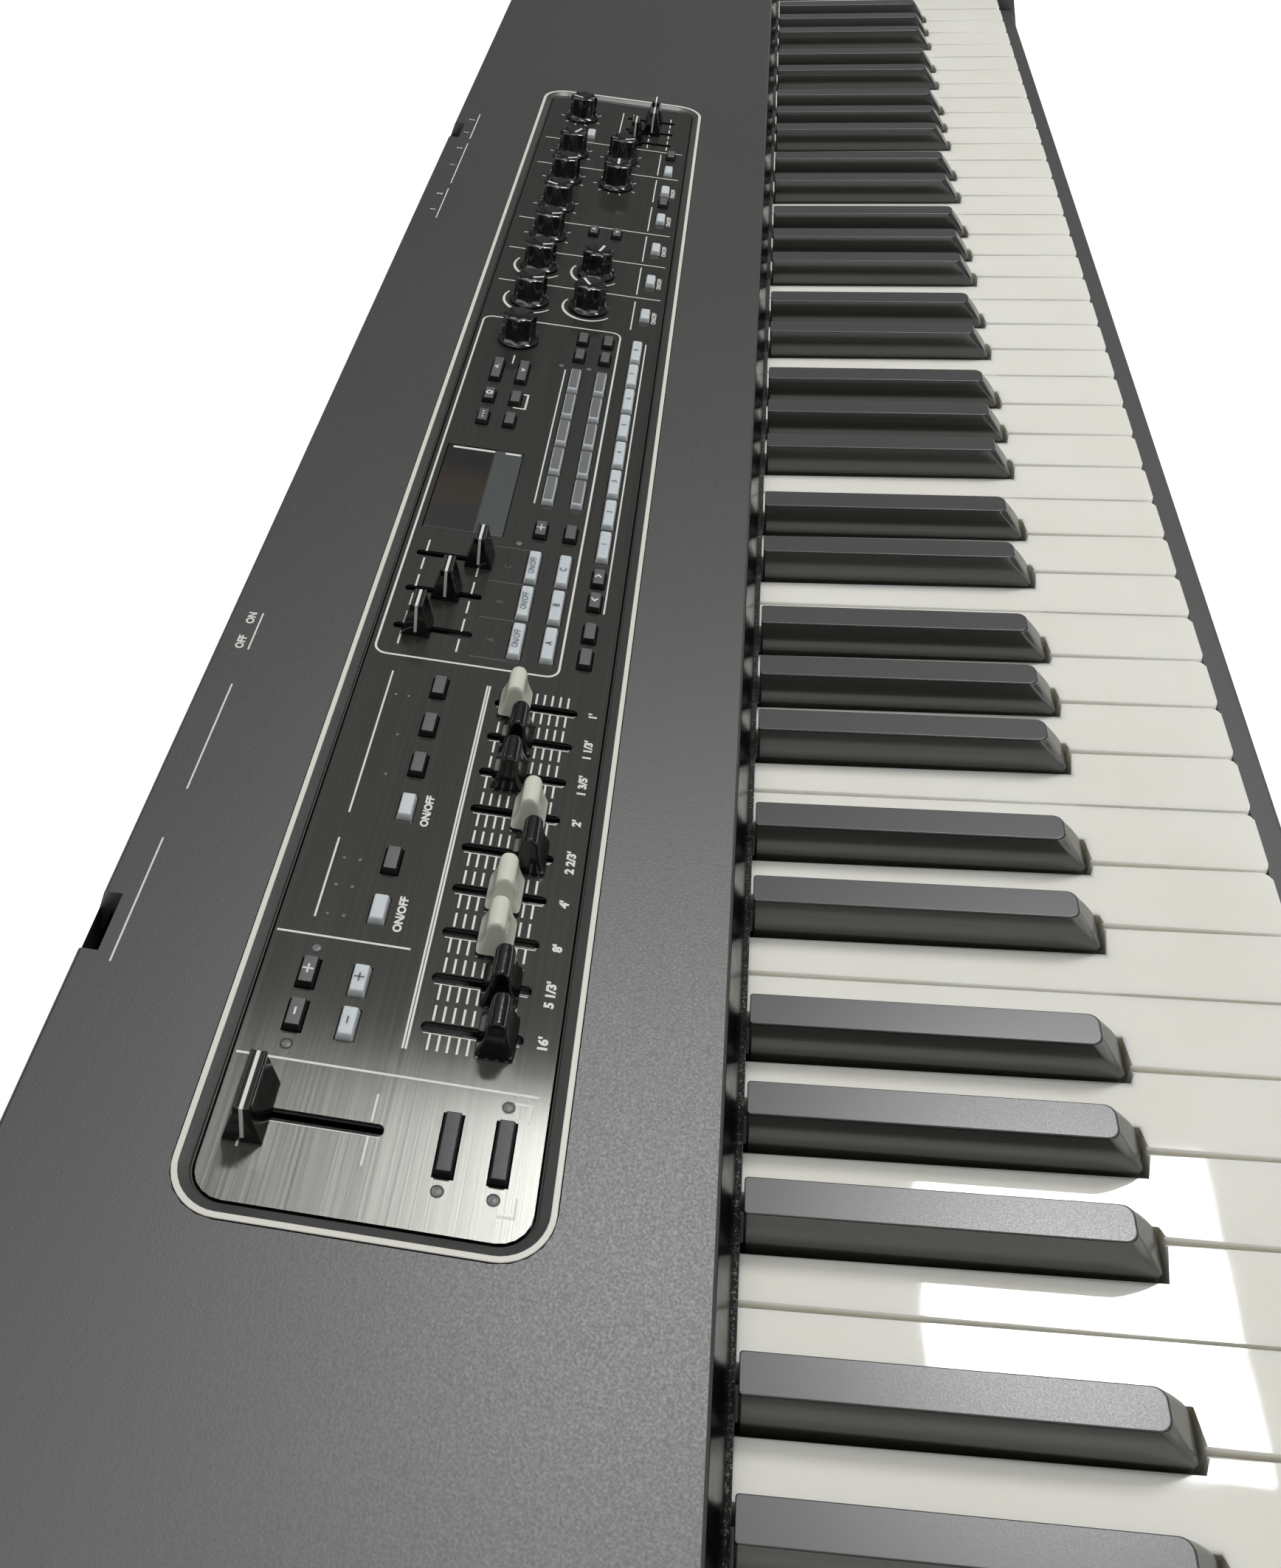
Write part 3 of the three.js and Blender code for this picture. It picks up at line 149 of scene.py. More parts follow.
# after the darker and lighter tone: smoothest, roughest, fineness and depth of the grain, then patches
coverFinish = mouldedPlastic("coverPlastic", level(39, 40, 38), level(45, 46, 44), 0.4, 0.5)
blockFinish = mouldedPlastic("blockPlastic", level(48, 49, 48), level(54, 55, 54), 0.48, 0.6)
bottomFinish = mouldedPlastic("bottomPlastic", level(36, 36, 35), level(44, 44, 43), 0.55, 0.7)
rearFinish = mouldedPlastic("rearPlastic", level(34, 34, 34), level(40, 40, 40), 0.45, 0.6)
wallFinish = mouldedPlastic("wallGloss", level(12, 12, 12), level(16, 16, 16), 0.17, 0.25, 300, 0.006)
naturalFinish = mouldedPlastic("naturalKey", level(234, 232, 222), level(238, 237, 229), 0.025, 0.045,
                               60, 0.001, 25)
# the sharps are all one black plastic: their tops are painted a lighter grey as a painted sheen, and the
# round of the top edge is painted near black as a painted dark reflection
blackKeySheenTopFinish = mouldedPlastic("sharpTopPaintedSheen", level(64, 65, 64), level(71, 72, 71), 0.28, 0.35, 2600, 0.002)
blackKeyEdgeShadeFinish = mouldedPlastic("sharpEdgePaintedDark", level(7, 7, 8), level(9, 9, 10), 0.12, 0.18, 2600, 0.001)
blackKeySideShadeFinish = newFinish("sharpSidePaintedReflection")
knobFinish = mouldedPlastic("knobGloss", level(11, 11, 12), level(15, 15, 16), 0.08, 0.16, 400, 0.003)
capFinish = mouldedPlastic("capGloss", level(11, 11, 12), level(14, 14, 15), 0.12, 0.2, 900, 0.002)
whiteCapFinish = mouldedPlastic("whiteCap", level(206, 207, 192), level(216, 217, 204), 0.12, 0.18,
                                500, 0.003)
# the dark buttons are one black plastic: their tops are painted grey as painted light falling on them, their
# sides stay black
darkButtonLitTopFinish = mouldedPlastic("darkButtonPaintedLitTop", level(84, 86, 86), level(94, 96, 96), 0.4, 0.5, 2200, 0.008)
wideButtonLitTopFinish = mouldedPlastic("wideButtonPaintedLitTop", level(48, 49, 49), level(55, 56, 56), 0.4, 0.5, 2200, 0.006)
darkSideFinish = mouldedPlastic("darkButtonSide", level(18, 18, 18), level(22, 22, 22), 0.4, 0.5, 2200, 0.004)
paleFinish = mouldedPlastic("paleButton", level(198, 205, 208), level(207, 213, 215), 0.26, 0.36, 900, 0.004)
categoryFinish = mouldedPlastic("greyButton", level(104, 106, 106), level(114, 116, 116), 0.35, 0.45,
                                900, 0.004)
# white ink, also used for the painted highlights along the slot edges
inkAndHighlightFinish = mouldedPlastic("whiteInkAndPaintedHighlight", level(214, 214, 206), level(226, 226, 219), 0.45, 0.55, 1200, 0.003)
faintInkFinish = mouldedPlastic("faintInk", level(78, 78, 75), level(86, 86, 83), 0.45, 0.55, 1200, 0.003)
greyInkFinish = mouldedPlastic("greyInk", level(70, 74, 78), level(80, 84, 88), 0.5, 0.6, 1200, 0.003)
ringFinish = mouldedPlastic("ringLine", level(212, 210, 200), level(220, 218, 209), 0.4, 0.5, 900, 0.004)
bevelFinish = mouldedPlastic("ringBevel", level(54, 55, 53), level(62, 63, 61), 0.34, 0.46, 1400, 0.008)
flapFinish = mouldedPlastic("slotFlap", level(14, 14, 14), level(20, 20, 20), 0.1, 0.2, 700, 0.003)
boardFinish = mouldedPlastic("boardMask", level(14, 26, 20), level(18, 32, 25), 0.4, 0.5, 300, 0.01)
rubberFinish = mouldedPlastic("rubberFoot", level(26, 26, 26), level(32, 32, 32), 0.75, 0.85, 900, 0.03)
socketFinish = mouldedPlastic("socketBlack", level(14, 14, 14), level(18, 18, 18), 0.3, 0.4, 900, 0.006)

# how strongly each dark plastic mirrors the window
for finish, index in ((coverFinish, 1.85), (blockFinish, 1.7), (blackKeySheenTopFinish, 1.62), (blackKeyEdgeShadeFinish, 2.2),
                      (blackKeySideShadeFinish, 1.9), (bevelFinish, 1.7), (knobFinish, 1.8), (capFinish, 1.7)):
    finish.node_tree.nodes["Principled BSDF"].inputs["IOR"].default_value = index

# the naturals, the pale buttons and the white drawbars let a little light into them
for finish, weight, depth in ((naturalFinish, 0.6, 5.0), (paleFinish, 0.9, 4.0), (whiteCapFinish, 0.3, 1.5)):
    shader = finish.node_tree.nodes["Principled BSDF"]
    shader.inputs["Subsurface Weight"].default_value = weight
    shader.inputs["Subsurface Scale"].default_value = depth * mm
    shader.inputs["Subsurface Radius"].default_value = (1.0, 0.94, 0.8)


def brushedMetal(name, dark, light, smooth, rough, metallic, stretch, depth=0.012):
    finish = newFinish(name, Metallic=metallic)
    streaks = addNoise(finish, 1, 4, 0.65, stretch)
    tintBy(finish, streaks, dark, light, 0.25, 0.75)
    glossBy(finish, streaks, smooth, rough)
    reliefBy(finish, streaks, depth)
    return finish


# after the tones: smoothest, roughest, how metallic, and how the streaks stretch along each axis
panelFinish = brushedMetal("panelMetal", level(82, 82, 79), level(99, 99, 95), 0.145, 0.195, 0.7,
                           (9, 1500, 1500))
edgeFinish = brushedMetal("cutMetal", level(100, 101, 100), level(124, 125, 124), 0.25, 0.35, 1.0,
                          (60, 60, 60))
frameFinish = brushedMetal("frameSteel", level(140, 142, 144), level(160, 162, 164), 0.35, 0.5, 1.0,
                           (40, 300, 300))
chromeFinish = brushedMetal("socketChrome", level(190, 190, 190), level(206, 206, 206), 0.14, 0.24, 1.0,
                            (90, 90, 90), 0.003)


def brushAlong(finish):
    # the shine spreads across the brush lines, which run along the body
    tree = finish.node_tree
    shader = tree.nodes["Principled BSDF"]
    shader.inputs["Anisotropic"].default_value = 1.0
    geometry = tree.nodes.new("ShaderNodeNewGeometry")
    across = tree.nodes.new("ShaderNodeVectorMath")
    across.operation = "CROSS_PRODUCT"
    across.inputs[1].default_value = (1, 0, 0)
    tree.links.new(geometry.outputs["Normal"], across.inputs[0])
    tree.links.new(across.outputs["Vector"], shader.inputs["Tangent"])


brushAlong(panelFinish)


def fadeDown(finish, bottom, top, dark, light):
    # a finish painted paler towards its upper edge: painted reflection of the lit naturals beside the keys,
    # fading to painted shade lower down between the keys
    tree = finish.node_tree
    place = tree.nodes.new("ShaderNodeTexCoord")
    split = tree.nodes.new("ShaderNodeSeparateXYZ")
    spread = tree.nodes.new("ShaderNodeMapRange")
    spread.inputs["From Min"].default_value = bottom * mm
    spread.inputs["From Max"].default_value = top * mm
    tree.links.new(place.outputs["Object"], split.inputs["Vector"])
    tree.links.new(split.outputs["Z"], spread.inputs["Value"])
    tintBy(finish, spread.outputs["Result"], dark, light, 0.0, 1.0)


# the sharps' sides: painted reflection near the top, painted shade at the foot
fadeDown(blackKeySideShadeFinish, 103.5, 109.5, level(10, 10, 11), level(62, 63, 59))
glossBy(blackKeySideShadeFinish, addNoise(blackKeySideShadeFinish, 2600, 2), 0.16, 0.24)

feltFinish = newFinish("feltStrip", Roughness=1.0, Sheen_Weight=0.25, Sheen_Roughness=0.6)
tintBy(feltFinish, addNoise(feltFinish, 1300, 3, 0.8), level(7, 7, 8), level(150, 150, 147), 0.54, 0.7)
reliefBy(feltFinish, addNoise(feltFinish, 1100, 4, 0.8), 0.25)

lensFinish = newFinish("lampLens", Coat_Weight=0.15, Coat_Roughness=0.3)
tintBy(lensFinish, addNoise(lensFinish, 900, 2), level(84, 88, 86), level(116, 120, 116))
glossBy(lensFinish, addNoise(lensFinish, 900, 2), 0.35, 0.5)


# strip is where the paler strip of the glass, a painted reflection, ends, back from its front edge
display = {"left": -74.4, "right": -20.8, "front": 86.9, "strip": 10.4,
           "trim": ((97.5, 113.5), (87.6, 93.5)), "trimOuter": 0.9, "trimInner": 2.1}


def displayGlass():
    # dark glass with a paler strip in its front third, which is a painted reflection, and a warm tint behind
    # its middle
    finish = newFinish("displayGlass", Coat_Weight=1.0, Coat_Roughness=0.02, IOR=1.52)
    tree = finish.node_tree
    place = tree.nodes.new("ShaderNodeTexCoord")
    split = tree.nodes.new("ShaderNodeSeparateXYZ")
    tree.links.new(place.outputs["Object"], split.inputs["Vector"])
    across = tree.nodes.new("ShaderNodeMapRange")
    edgeY = onSlope(0, display["front"] + display["strip"], panel["top"]).y
    across.inputs["From Min"].default_value = edgeY - 0.3 * mm
    across.inputs["From Max"].default_value = edgeY + 0.5 * mm
    tree.links.new(split.outputs["Y"], across.inputs["Value"])
    along = tree.nodes.new("ShaderNodeValToRGB")
    stops = along.color_ramp.elements
    stops[0].position = 0.25
    stops[0].color = level(36, 38, 37)
    stops[1].position = 0.8
    stops[1].color = level(17, 17, 18)
    stops.new(0.34).color = level(47, 38, 27)
    stops.new(0.56).color = level(45, 35, 24)
    spread = tree.nodes.new("ShaderNodeMapRange")
    spread.inputs["From Min"].default_value = display["left"] * mm
    spread.inputs["From Max"].default_value = display["right"] * mm
    tree.links.new(split.outputs["X"], spread.inputs["Value"])
    tree.links.new(spread.outputs["Result"], along.inputs["Fac"])
    mix = tree.nodes.new("ShaderNodeMix")
    mix.data_type = "RGBA"
    # the paler strip's colour: painted reflection
    mix.inputs["A"].default_value = level(74, 79, 78)
    tree.links.new(across.outputs["Result"], mix.inputs["Factor"])
    tree.links.new(along.outputs["Color"], mix.inputs["B"])
    tree.links.new(mix.outputs["Result"], tree.nodes["Principled BSDF"].inputs["Base Color"])
    glossBy(finish, addNoise(finish, 500, 3), 0.05, 0.1)
    return finish


glassFinish = displayGlass()
coneFinish = newFinish("speakerCone")
tintBy(coneFinish, addNoise(coneFinish, 700, 4), level(30, 30, 31), level(46, 46, 47))
glossBy(coneFinish, addNoise(coneFinish, 700, 4), 0.7, 0.9)
reliefBy(coneFinish, addNoise(coneFinish, 700, 4), 0.05)
print("finishes made")


# ways to make a mesh
weld = {"distance": 0.002, "flatWithin": 0.6}


def addPiece(name, bm, finishes, body, replaces=(), smoothAngle=32):
    bmesh.ops.recalc_face_normals(bm, faces=bm.faces)
    mesh = bpy.data.meshes.new(name)
    bm.to_mesh(mesh)
    bm.free()
    for finish in finishes:
        mesh.materials.append(finish)
    piece = bpy.data.objects.new(name, mesh)
    bpy.context.scene.collection.objects.link(piece)
    if smoothAngle:
        mesh.shade_smooth()
        mesh.set_sharp_from_angle(angle=math.radians(smoothAngle))
        normals = piece.modifiers.new("normals", "WEIGHTED_NORMAL")
        normals.mode = "FACE_AREA"
        normals.weight = 50
        normals.keep_sharp = True
    else:
        mesh.shade_flat()
    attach(piece, body)
    if replaces:
        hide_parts(*replaces)


def addLoft(bm, rings, capped=True, pick=None):
    # closed rings of the same number of points, joined to one another; capped closes both ends
    rows = [[bm.verts.new(point) for point in ring] for ring in rings]
    count = len(rows[0])
    for r in range(len(rows) - 1):
        for i in range(count):
            j = (i + 1) % count
            face = bm.faces.new((rows[r][i], rows[r][j], rows[r + 1][j], rows[r + 1][i]))
            if pick:
                face.material_index = pick(r)
    if capped:
        bm.faces.new(list(reversed(rows[0])))
        top = bm.faces.new(rows[-1])
        if pick:
            top.material_index = pick(len(rows) - 2)
    return rows


def roundedRect(x0, x1, y0, y1, radius, steps):
    points = []
    for cx, cy, start in ((x1 - radius, y0 + radius, -90), (x1 - radius, y1 - radius, 0),
                          (x0 + radius, y1 - radius, 90), (x0 + radius, y0 + radius, 180)):
        for i in range(steps + 1):
            angle = math.radians(start + 90 * i / steps)
            points.append((cx + radius * math.cos(angle), cy + radius * math.sin(angle)))
    return points


def addSlab(bm, x0, x1, s0, s1, n0, n1):
    # a thin closed plate on the slope, such as a stroke of ink
    low = [onSlope(x, s, n0) for x, s in ((x0, s0), (x1, s0), (x1, s1), (x0, s1))]
    high = [onSlope(x, s, n1) for x, s in ((x0, s0), (x1, s0), (x1, s1), (x0, s1))]
    addLoft(bm, [low, high])


def dressNode(name, node, finishes, width=0.0, steps=2, sharper=30, pick=None, wanted=None, smoothAngle=32):
    # a node's own shape with its edges rounded, in the finishes that pick chooses for each face
    source = frame["nodes"][node]
    bm = bmesh.new()
    bm.from_mesh(source.data)
    bmesh.ops.remove_doubles(bm, verts=bm.verts, dist=weld["distance"] * mm)
    bmesh.ops.dissolve_limit(bm, angle_limit=math.radians(weld["flatWithin"]), verts=bm.verts, edges=bm.edges)
    if width:
        edges = [edge for edge in bm.edges if len(edge.link_faces) == 2
                 and edge.calc_face_angle(0) > math.radians(sharper) and (wanted is None or wanted(edge))]
        bmesh.ops.bevel(bm, geom=edges, offset=width * mm, segments=steps, profile=0.5,
                        affect="EDGES", clamp_overlap=True)
    if pick:
        bm.normal_update()
        for face in bm.faces:
            face.material_index = pick(face)
    addPiece(name, bm, finishes, source["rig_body"], (node,), smoothAngle)


inwards = slopeFrame.inverted()


def panelNormal(face):
    return inwards.to_3x3() @ face.normal


def above(depth):
    # picks the edges that lie wholly above a level on the slope
    return lambda edge: all((inwards @ v.co).z > depth * mm for v in edge.verts)


# keys
keys = {"pitch": 23.5, "count": 52, "gap": 1.0, "top": 101.0, "front": -157.0, "head": 50.5, "rear": 42.0,
        "thick": 12.0, "lip": 20.0, "lipThick": 3.0, "lipInset": 0.25, "corner": 2.4, "round": 0.7,
        "notch": 15.4, "barInset": 0.5, "barY": (36, 42), "barZ": (81, 90)}
sharps = {"height": 12.0, "baseWidth": 12.8, "topWidth": 8.8, "front": -104.5, "rear": -8.9, "skirt": 10.0,
          "foot": 1.6, "upright": 3.2, "slopeRun": 6.3, "edge": 0.6, "footCorner": 1.5, "topCorner": 3.0,
          "rearCorner": 0.8, "frontEase": 0.25, "lean": 1.6, "sideSteps": 7, "edgeSteps": 5,
          "tailWidth": 8.0, "tailTop": 99.0, "tailDeep": 8, "tailRear": 54.0, "tailOverlap": 2,
          "barReach": 7.7, "barY": (48, 54), "barZ": (88, 98.9),
          "offsets": {"C": -3.2, "D": 2.2, "F": -3.5, "G": -0.6, "A": 2.6}}
noteNames = "ABCDEFG"
octaveCount = 7
lowNaturals = 2      # the A and the B below the first C


def noteOf(index):
    return noteNames[index % len(noteNames)]


def gapX(index):
    return (index + 1 - keys["count"] / 2) * keys["pitch"]


def hasSharp(index):
    return 0 <= index < keys["count"] - 1 and noteOf(index) in sharps["offsets"]


def sharpX(index):
    return gapX(index) + sharps["offsets"][noteOf(index)]


def addNatural(bm, index):
    x0 = gapX(index - 1) + keys["gap"] / 2
    x1 = gapX(index) - keys["gap"] / 2
    tail0 = sharpX(index - 1) + keys["notch"] / 2 if hasSharp(index - 1) else x0
    tail1 = sharpX(index) - keys["notch"] / 2 if hasSharp(index) else x1
    headY = keys["front"] + keys["head"]
    cornerPoints = 6
    corner = roundedRect(x0, x1, keys["front"], headY, keys["corner"], cornerPoints - 1)
    outline = corner[:cornerPoints] + [(x1, headY)]
    if tail1 != x1:
        outline += [(tail1, headY)]
    outline += [(tail1, keys["rear"]), (tail0, keys["rear"])]
    if tail0 != x0:
        outline += [(tail0, headY)]
    outline += [(x0, headY)] + corner[-cornerPoints:]
    top, under = keys["top"] * mm, (keys["top"] - keys["thick"]) * mm
    key = bmesh.new()
    addLoft(key, [[(x * mm, y * mm, z) for x, y in outline] for z in (under, top)])
    edges = [edge for edge in key.edges if all(abs(v.co.z - top) < 1e-7 for v in edge.verts)]
    edges += [edge for edge in key.edges if edge.verts[0].co.z != edge.verts[1].co.z
              and abs(edge.verts[0].co.y - headY * mm) < 1e-7]
    bmesh.ops.bevel(key, geom=edges, offset=keys["round"] * mm, segments=3, profile=0.5,
                    affect="EDGES", clamp_overlap=True)
    # front lip, set in under the head
    inset = keys["lipInset"]
    lip = roundedRect(x0 + inset, x1 - inset, keys["front"] + inset, headY, keys["corner"], cornerPoints - 1)
    back = keys["front"] + keys["lipThick"]
    lip = lip[:cornerPoints] + [(x1 - inset, back), (x0 + inset, back)] + lip[-cornerPoints:]
    addLoft(key, [[(x * mm, y * mm, z * mm) for x, y in lip]
                  for z in (keys["top"] - keys["lip"], keys["top"] - keys["thick"] + 0.5)])
    joinInto(bm, key)


def joinInto(bm, other):
    mesh = bpy.data.meshes.new("joining")
    other.to_mesh(mesh)
    other.free()
    bm.from_mesh(mesh)
    bpy.data.meshes.remove(mesh)


def addSharp(bm, index):
    x = sharpX(index)
    z0 = keys["top"]
    slopeTop = sharps["height"] - sharps["edge"]
    shoulder = sharps["topWidth"] + 1.5 * sharps["edge"]
    # height, width, how far the front slopes back, front corner and rear inset of each ring, from the foot up
    rings = [(-sharps["skirt"], sharps["baseWidth"], 0.0, sharps["footCorner"], 0.0),
             (sharps["foot"] - 0.5, sharps["baseWidth"], 0.0, sharps["footCorner"], 0.0),
             (sharps["foot"], sharps["baseWidth"], sharps["frontEase"], sharps["footCorner"], 0.0)]
    for i in range(1, sharps["sideSteps"] + 1):
        share = i / sharps["sideSteps"]
        height = sharps["foot"] + share * (slopeTop - sharps["foot"])
        lean = max(0.0, (height - sharps["upright"]) / (slopeTop - sharps["upright"])) ** sharps["lean"]
        rings.append((height, sharps["baseWidth"] + (shoulder - sharps["baseWidth"]) * lean,
                      sharps["frontEase"] + share ** 1.1 * (sharps["slopeRun"] - sharps["frontEase"]),
                      sharps["footCorner"] + (sharps["topCorner"] - sharps["footCorner"]) * share, 0.0))
    sideStrips = len(rings) - 1
    for i in range(1, sharps["edgeSteps"] + 1):
        turn = math.radians(90 * i / sharps["edgeSteps"])
        inset = sharps["edge"] * (1 - math.cos(turn))
        rings.append((slopeTop + sharps["edge"] * math.sin(turn), shoulder - 1.5 * inset,
                      sharps["slopeRun"] + 1.4 * inset, sharps["topCorner"] - 0.5 * inset, 0.5 * inset))
    loft = []
    for height, width, run, corner, rearInset in rings:
        sides = (x - width / 2, x + width / 2, sharps["front"] + run, sharps["rear"] - rearInset)
        cornerPoints = 7
        front = roundedRect(*sides, corner, cornerPoints - 1)
        back = roundedRect(*sides, sharps["rearCorner"], cornerPoints - 1)
        points = front[:cornerPoints] + back[cornerPoints:-cornerPoints] + front[-cornerPoints:]
        loft.append([(px * mm, py * mm, (z0 + height) * mm) for px, py in points])
    # sides up to the edge, then a painted dark reflection line round the edge; the last two strips belong to
    # the top, painted lighter as a painted sheen
    topStrips = len(rings) - 3
    addLoft(bm, loft, True, lambda r: 1 if r < sideStrips else 2 if r < topStrips else 0)
    left, right = x - sharps["tailWidth"] / 2, x + sharps["tailWidth"] / 2
    front = sharps["rear"] - sharps["tailOverlap"]
    tail = [(left, front), (right, front), (right, sharps["tailRear"]), (left, sharps["tailRear"])]
    heights = (sharps["tailTop"] - sharps["tailDeep"], sharps["tailTop"])
    addLoft(bm, [[(px * mm, py * mm, z * mm) for px, py in tail] for z in heights], True, lambda r: 1)


def addCrossBar(bm, x0, x1, depth, height):
    # the bar that joins the keys of one comb at the rear
    (y0, y1), (z0, z1) = depth, height
    outline = ((x0, y0), (x1, y0), (x1, y1), (x0, y1))
    addLoft(bm, [[(x * mm, y * mm, z * mm) for x, y in outline] for z in (z0, z1)])


for octave in range(1, octaveCount + 1):
    first = 0 if octave == 1 else lowNaturals + len(noteNames) * (octave - 1)
    last = keys["count"] - 1 if octave == octaveCount else lowNaturals + len(noteNames) * octave - 1
    bm = bmesh.new()
    for index in range(first, last + 1):
        addNatural(bm, index)
    addCrossBar(bm, gapX(first - 1) + keys["barInset"], gapX(last) - keys["barInset"],
                keys["barY"], keys["barZ"])
    addPiece(f"naturalKeys{octave}", bm, [naturalFinish], f"naturals_{octave}",
             (f"naturals_octave_{octave}",))
    bm = bmesh.new()
    black = [index for index in range(first, last + 1) if hasSharp(index)]
    for index in black:
        addSharp(bm, index)
    addCrossBar(bm, sharpX(black[0]) - sharps["barReach"], sharpX(black[-1]) + sharps["barReach"],
                sharps["barY"], sharps["barZ"])
    addPiece(f"sharpKeys{octave}", bm, [blackKeySheenTopFinish, blackKeySideShadeFinish, blackKeyEdgeShadeFinish], f"sharps_{octave}",
             (f"sharps_octave_{octave}",))
print("keys made")


# body, measured in metres as the frame is
longEdge = 0.3
cover = {"glossAbove": 0.1035, "glossBefore": -0.003}
opening = {"left": -345, "right": 352, "front": 30, "rear": 130}      # round the panel, in mm on the slope
blockEdge = 0.02
footHeight = 0.0048


def isLong(edge):
    return edge.calc_length() > longEdge


def pickCover(face):
    # the wall over the keys is glossy
    centre = face.calc_center_median()
    frontWall = face.normal.y < -0.8 and centre.z > cover["glossAbove"] and centre.y < cover["glossBefore"]
    return 1 if frontWall else 0


def coverEdge(edge):
    # long edges, apart from the rim of the opening for the panel, which stays crisp
    x, s, n = (inwards @ ((edge.verts[0].co + edge.verts[1].co) / 2)) / mm
    atOpening = opening["left"] < x < opening["right"] and opening["front"] < s < opening["rear"]
    return isLong(edge) and not atOpening


dressNode("topCover", "top_cover", [coverFinish, wallFinish], 0.8, 3, 25, pickCover, coverEdge, 24)
for side in ("left", "right"):
    dressNode(f"endBlock_{side}", f"end_block_{side}", [blockFinish], 1.4, 3, 20, None,
              lambda edge: edge.calc_length() > blockEdge, 24)
dressNode("keySlip", "key_slip", [blockFinish], 0.8, 3, 25, None, isLong, 24)
dressNode("bottomCase", "bottom_case", [bottomFinish, rubberFinish], 0.5, 2, 40,
          lambda face: 1 if face.calc_center_median().z < footHeight else 0,
          lambda edge: isLong(edge) or max(v.co.z for v in edge.verts) < 0.001, 24)
dressNode("keyFelt", "key_felt", [feltFinish], 0.4, 2)


# what stands proud of the rear plate: metal rings on the audio sockets, and the black gain knob among them
rear = {"proudOf": 0.1677, "edgeFrom": 0.1674, "low": 0.06, "wallLow": 0.062, "high": 0.09,
        "audioFrom": 0.17, "gainLeft": 0.2035, "gainRight": 0.2145}


def pickRear(face):
    centre = face.calc_center_median()
    if centre.y > rear["proudOf"] and rear["low"] < centre.z < rear["high"]:
        gain = rear["gainLeft"] < centre.x < rear["gainRight"]
        return 1 if centre.x > rear["audioFrom"] and not gain else 2
    if rear["wallLow"] < centre.z < rear["high"] and abs(face.normal.y) < 0.9:
        return 2
    return 0


dressNode("rearPlate", "jack_panel", [rearFinish, chromeFinish, socketFinish], 0.25, 2, 50, pickRear,
          lambda edge: min(v.co.y for v in edge.verts) > rear["edgeFrom"])
dressNode("keyFrame", "key_frame", [frameFinish])
dressNode("panelBoard", "panel_board", [boardFinish])
for side in ("left", "right"):
    dressNode(f"driver_{side}", f"speaker_{side}", [coneFinish], 0.4, 2)
for lever in ("pitch_bend", "modulation"):
    dressNode(f"wheel_{lever}", f"lever_{lever}", [capFinish], 0.6, 3, 25, None, above(-2), 40)
print("body made")


# control panel
ring = {"out": 4.9, "rim": 0.3, "proud": 0.35, "ledge": 3.0, "under": -4.6}


def ringOutline(out, n, steps=10):
    x0, x1 = panel["left"] - out, panel["right"] + out
    s0, s1 = panel["front"] - out, panel["rear"] + out
    return [onSlope(x, s, n) for x, s in roundedRect(x0, x1, s0, s1, panel["corner"] + out, steps)]


def addPanelRing():
    proud = ring["proud"]
    rim = ring["out"] + ring["rim"]
    # a crisp pale line that laps over the gap to the cover, a satin bevel, then black steps down to the
    # panel, with one step in the bevel's grey among them as a painted highlight line
    profile = [(ring["out"], ring["under"]), (ring["out"], 0.0), (rim, 0.03), (rim, proud - 0.1),
               (rim - 0.12, proud), (3.85, proud), (3.7, proud - 0.1), (3.55, proud - 0.3), (1.35, -0.95),
               (1.1, -1.15), (0.95, -1.5), (0.6, -1.65), (0.5, -2.2), (0.05, -3.05), (-ring["ledge"], -3.15),
               (-ring["ledge"], ring["under"])]
    bm = bmesh.new()
    rings = [ringOutline(out, n) for out, n in profile]
    rings.append(rings[0])
    # which of the piece's finishes each step of the profile has; the one bevel step among the black ones is a
    # painted highlight
    marks = [2, 2, 1, 1, 1, 1, 0, 0, 0, 2, 0, 2, 2, 2, 2, 2]
    addLoft(bm, rings, False, lambda r: marks[r])
    bmesh.ops.remove_doubles(bm, verts=bm.verts, dist=1e-6)
    addPiece("panelRing", bm, [bevelFinish, ringFinish, socketFinish], "case", ("panel_ring",), 28)


addPanelRing()


def pickPanel(face):
    # brushed on top and below, bare cut metal in between
    normal = panelNormal(face)
    if normal.z > 0.98 or normal.z < -0.5:
        return 0
    return 1


dressNode("controlPlate", "control_panel", [panelFinish, edgeFinish], 0.15, 1, 50, pickPanel,
          above(panel["top"] - 0.05), 0)
dressNode("displayWindow", "display_module", [glassFinish], 0.35, 2)

# the wide dark buttons lie left of wideLeftOf; the grey ones of the sound categories fill one block
buttons = {"wideLeftOf": -294, "categoryLeft": -54, "categoryRight": 46, "categoryFront": 60,
           "categoryRear": 77, "darkEdge": 0.3, "paleEdge": 0.42, "edgesFrom": -2.2, "proud": 2.2}


# tops get the grey painted light, sides the black
def pickDark(face):
    place = (inwards @ face.calc_center_median()) / mm
    if panelNormal(face).z < 0.7 or place.z < -0.2:
        return 1
    return 2 if place.x < buttons["wideLeftOf"] else 0


def pickPale(face):
    place = inwards @ face.calc_center_median()
    x, s, n = place.x / mm, place.y / mm, place.z / mm
    category = (buttons["categoryLeft"] < x < buttons["categoryRight"]
                and buttons["categoryFront"] < s < buttons["categoryRear"])
    return 1 if category and n > 0.5 and panelNormal(face).z > 0.95 else 0


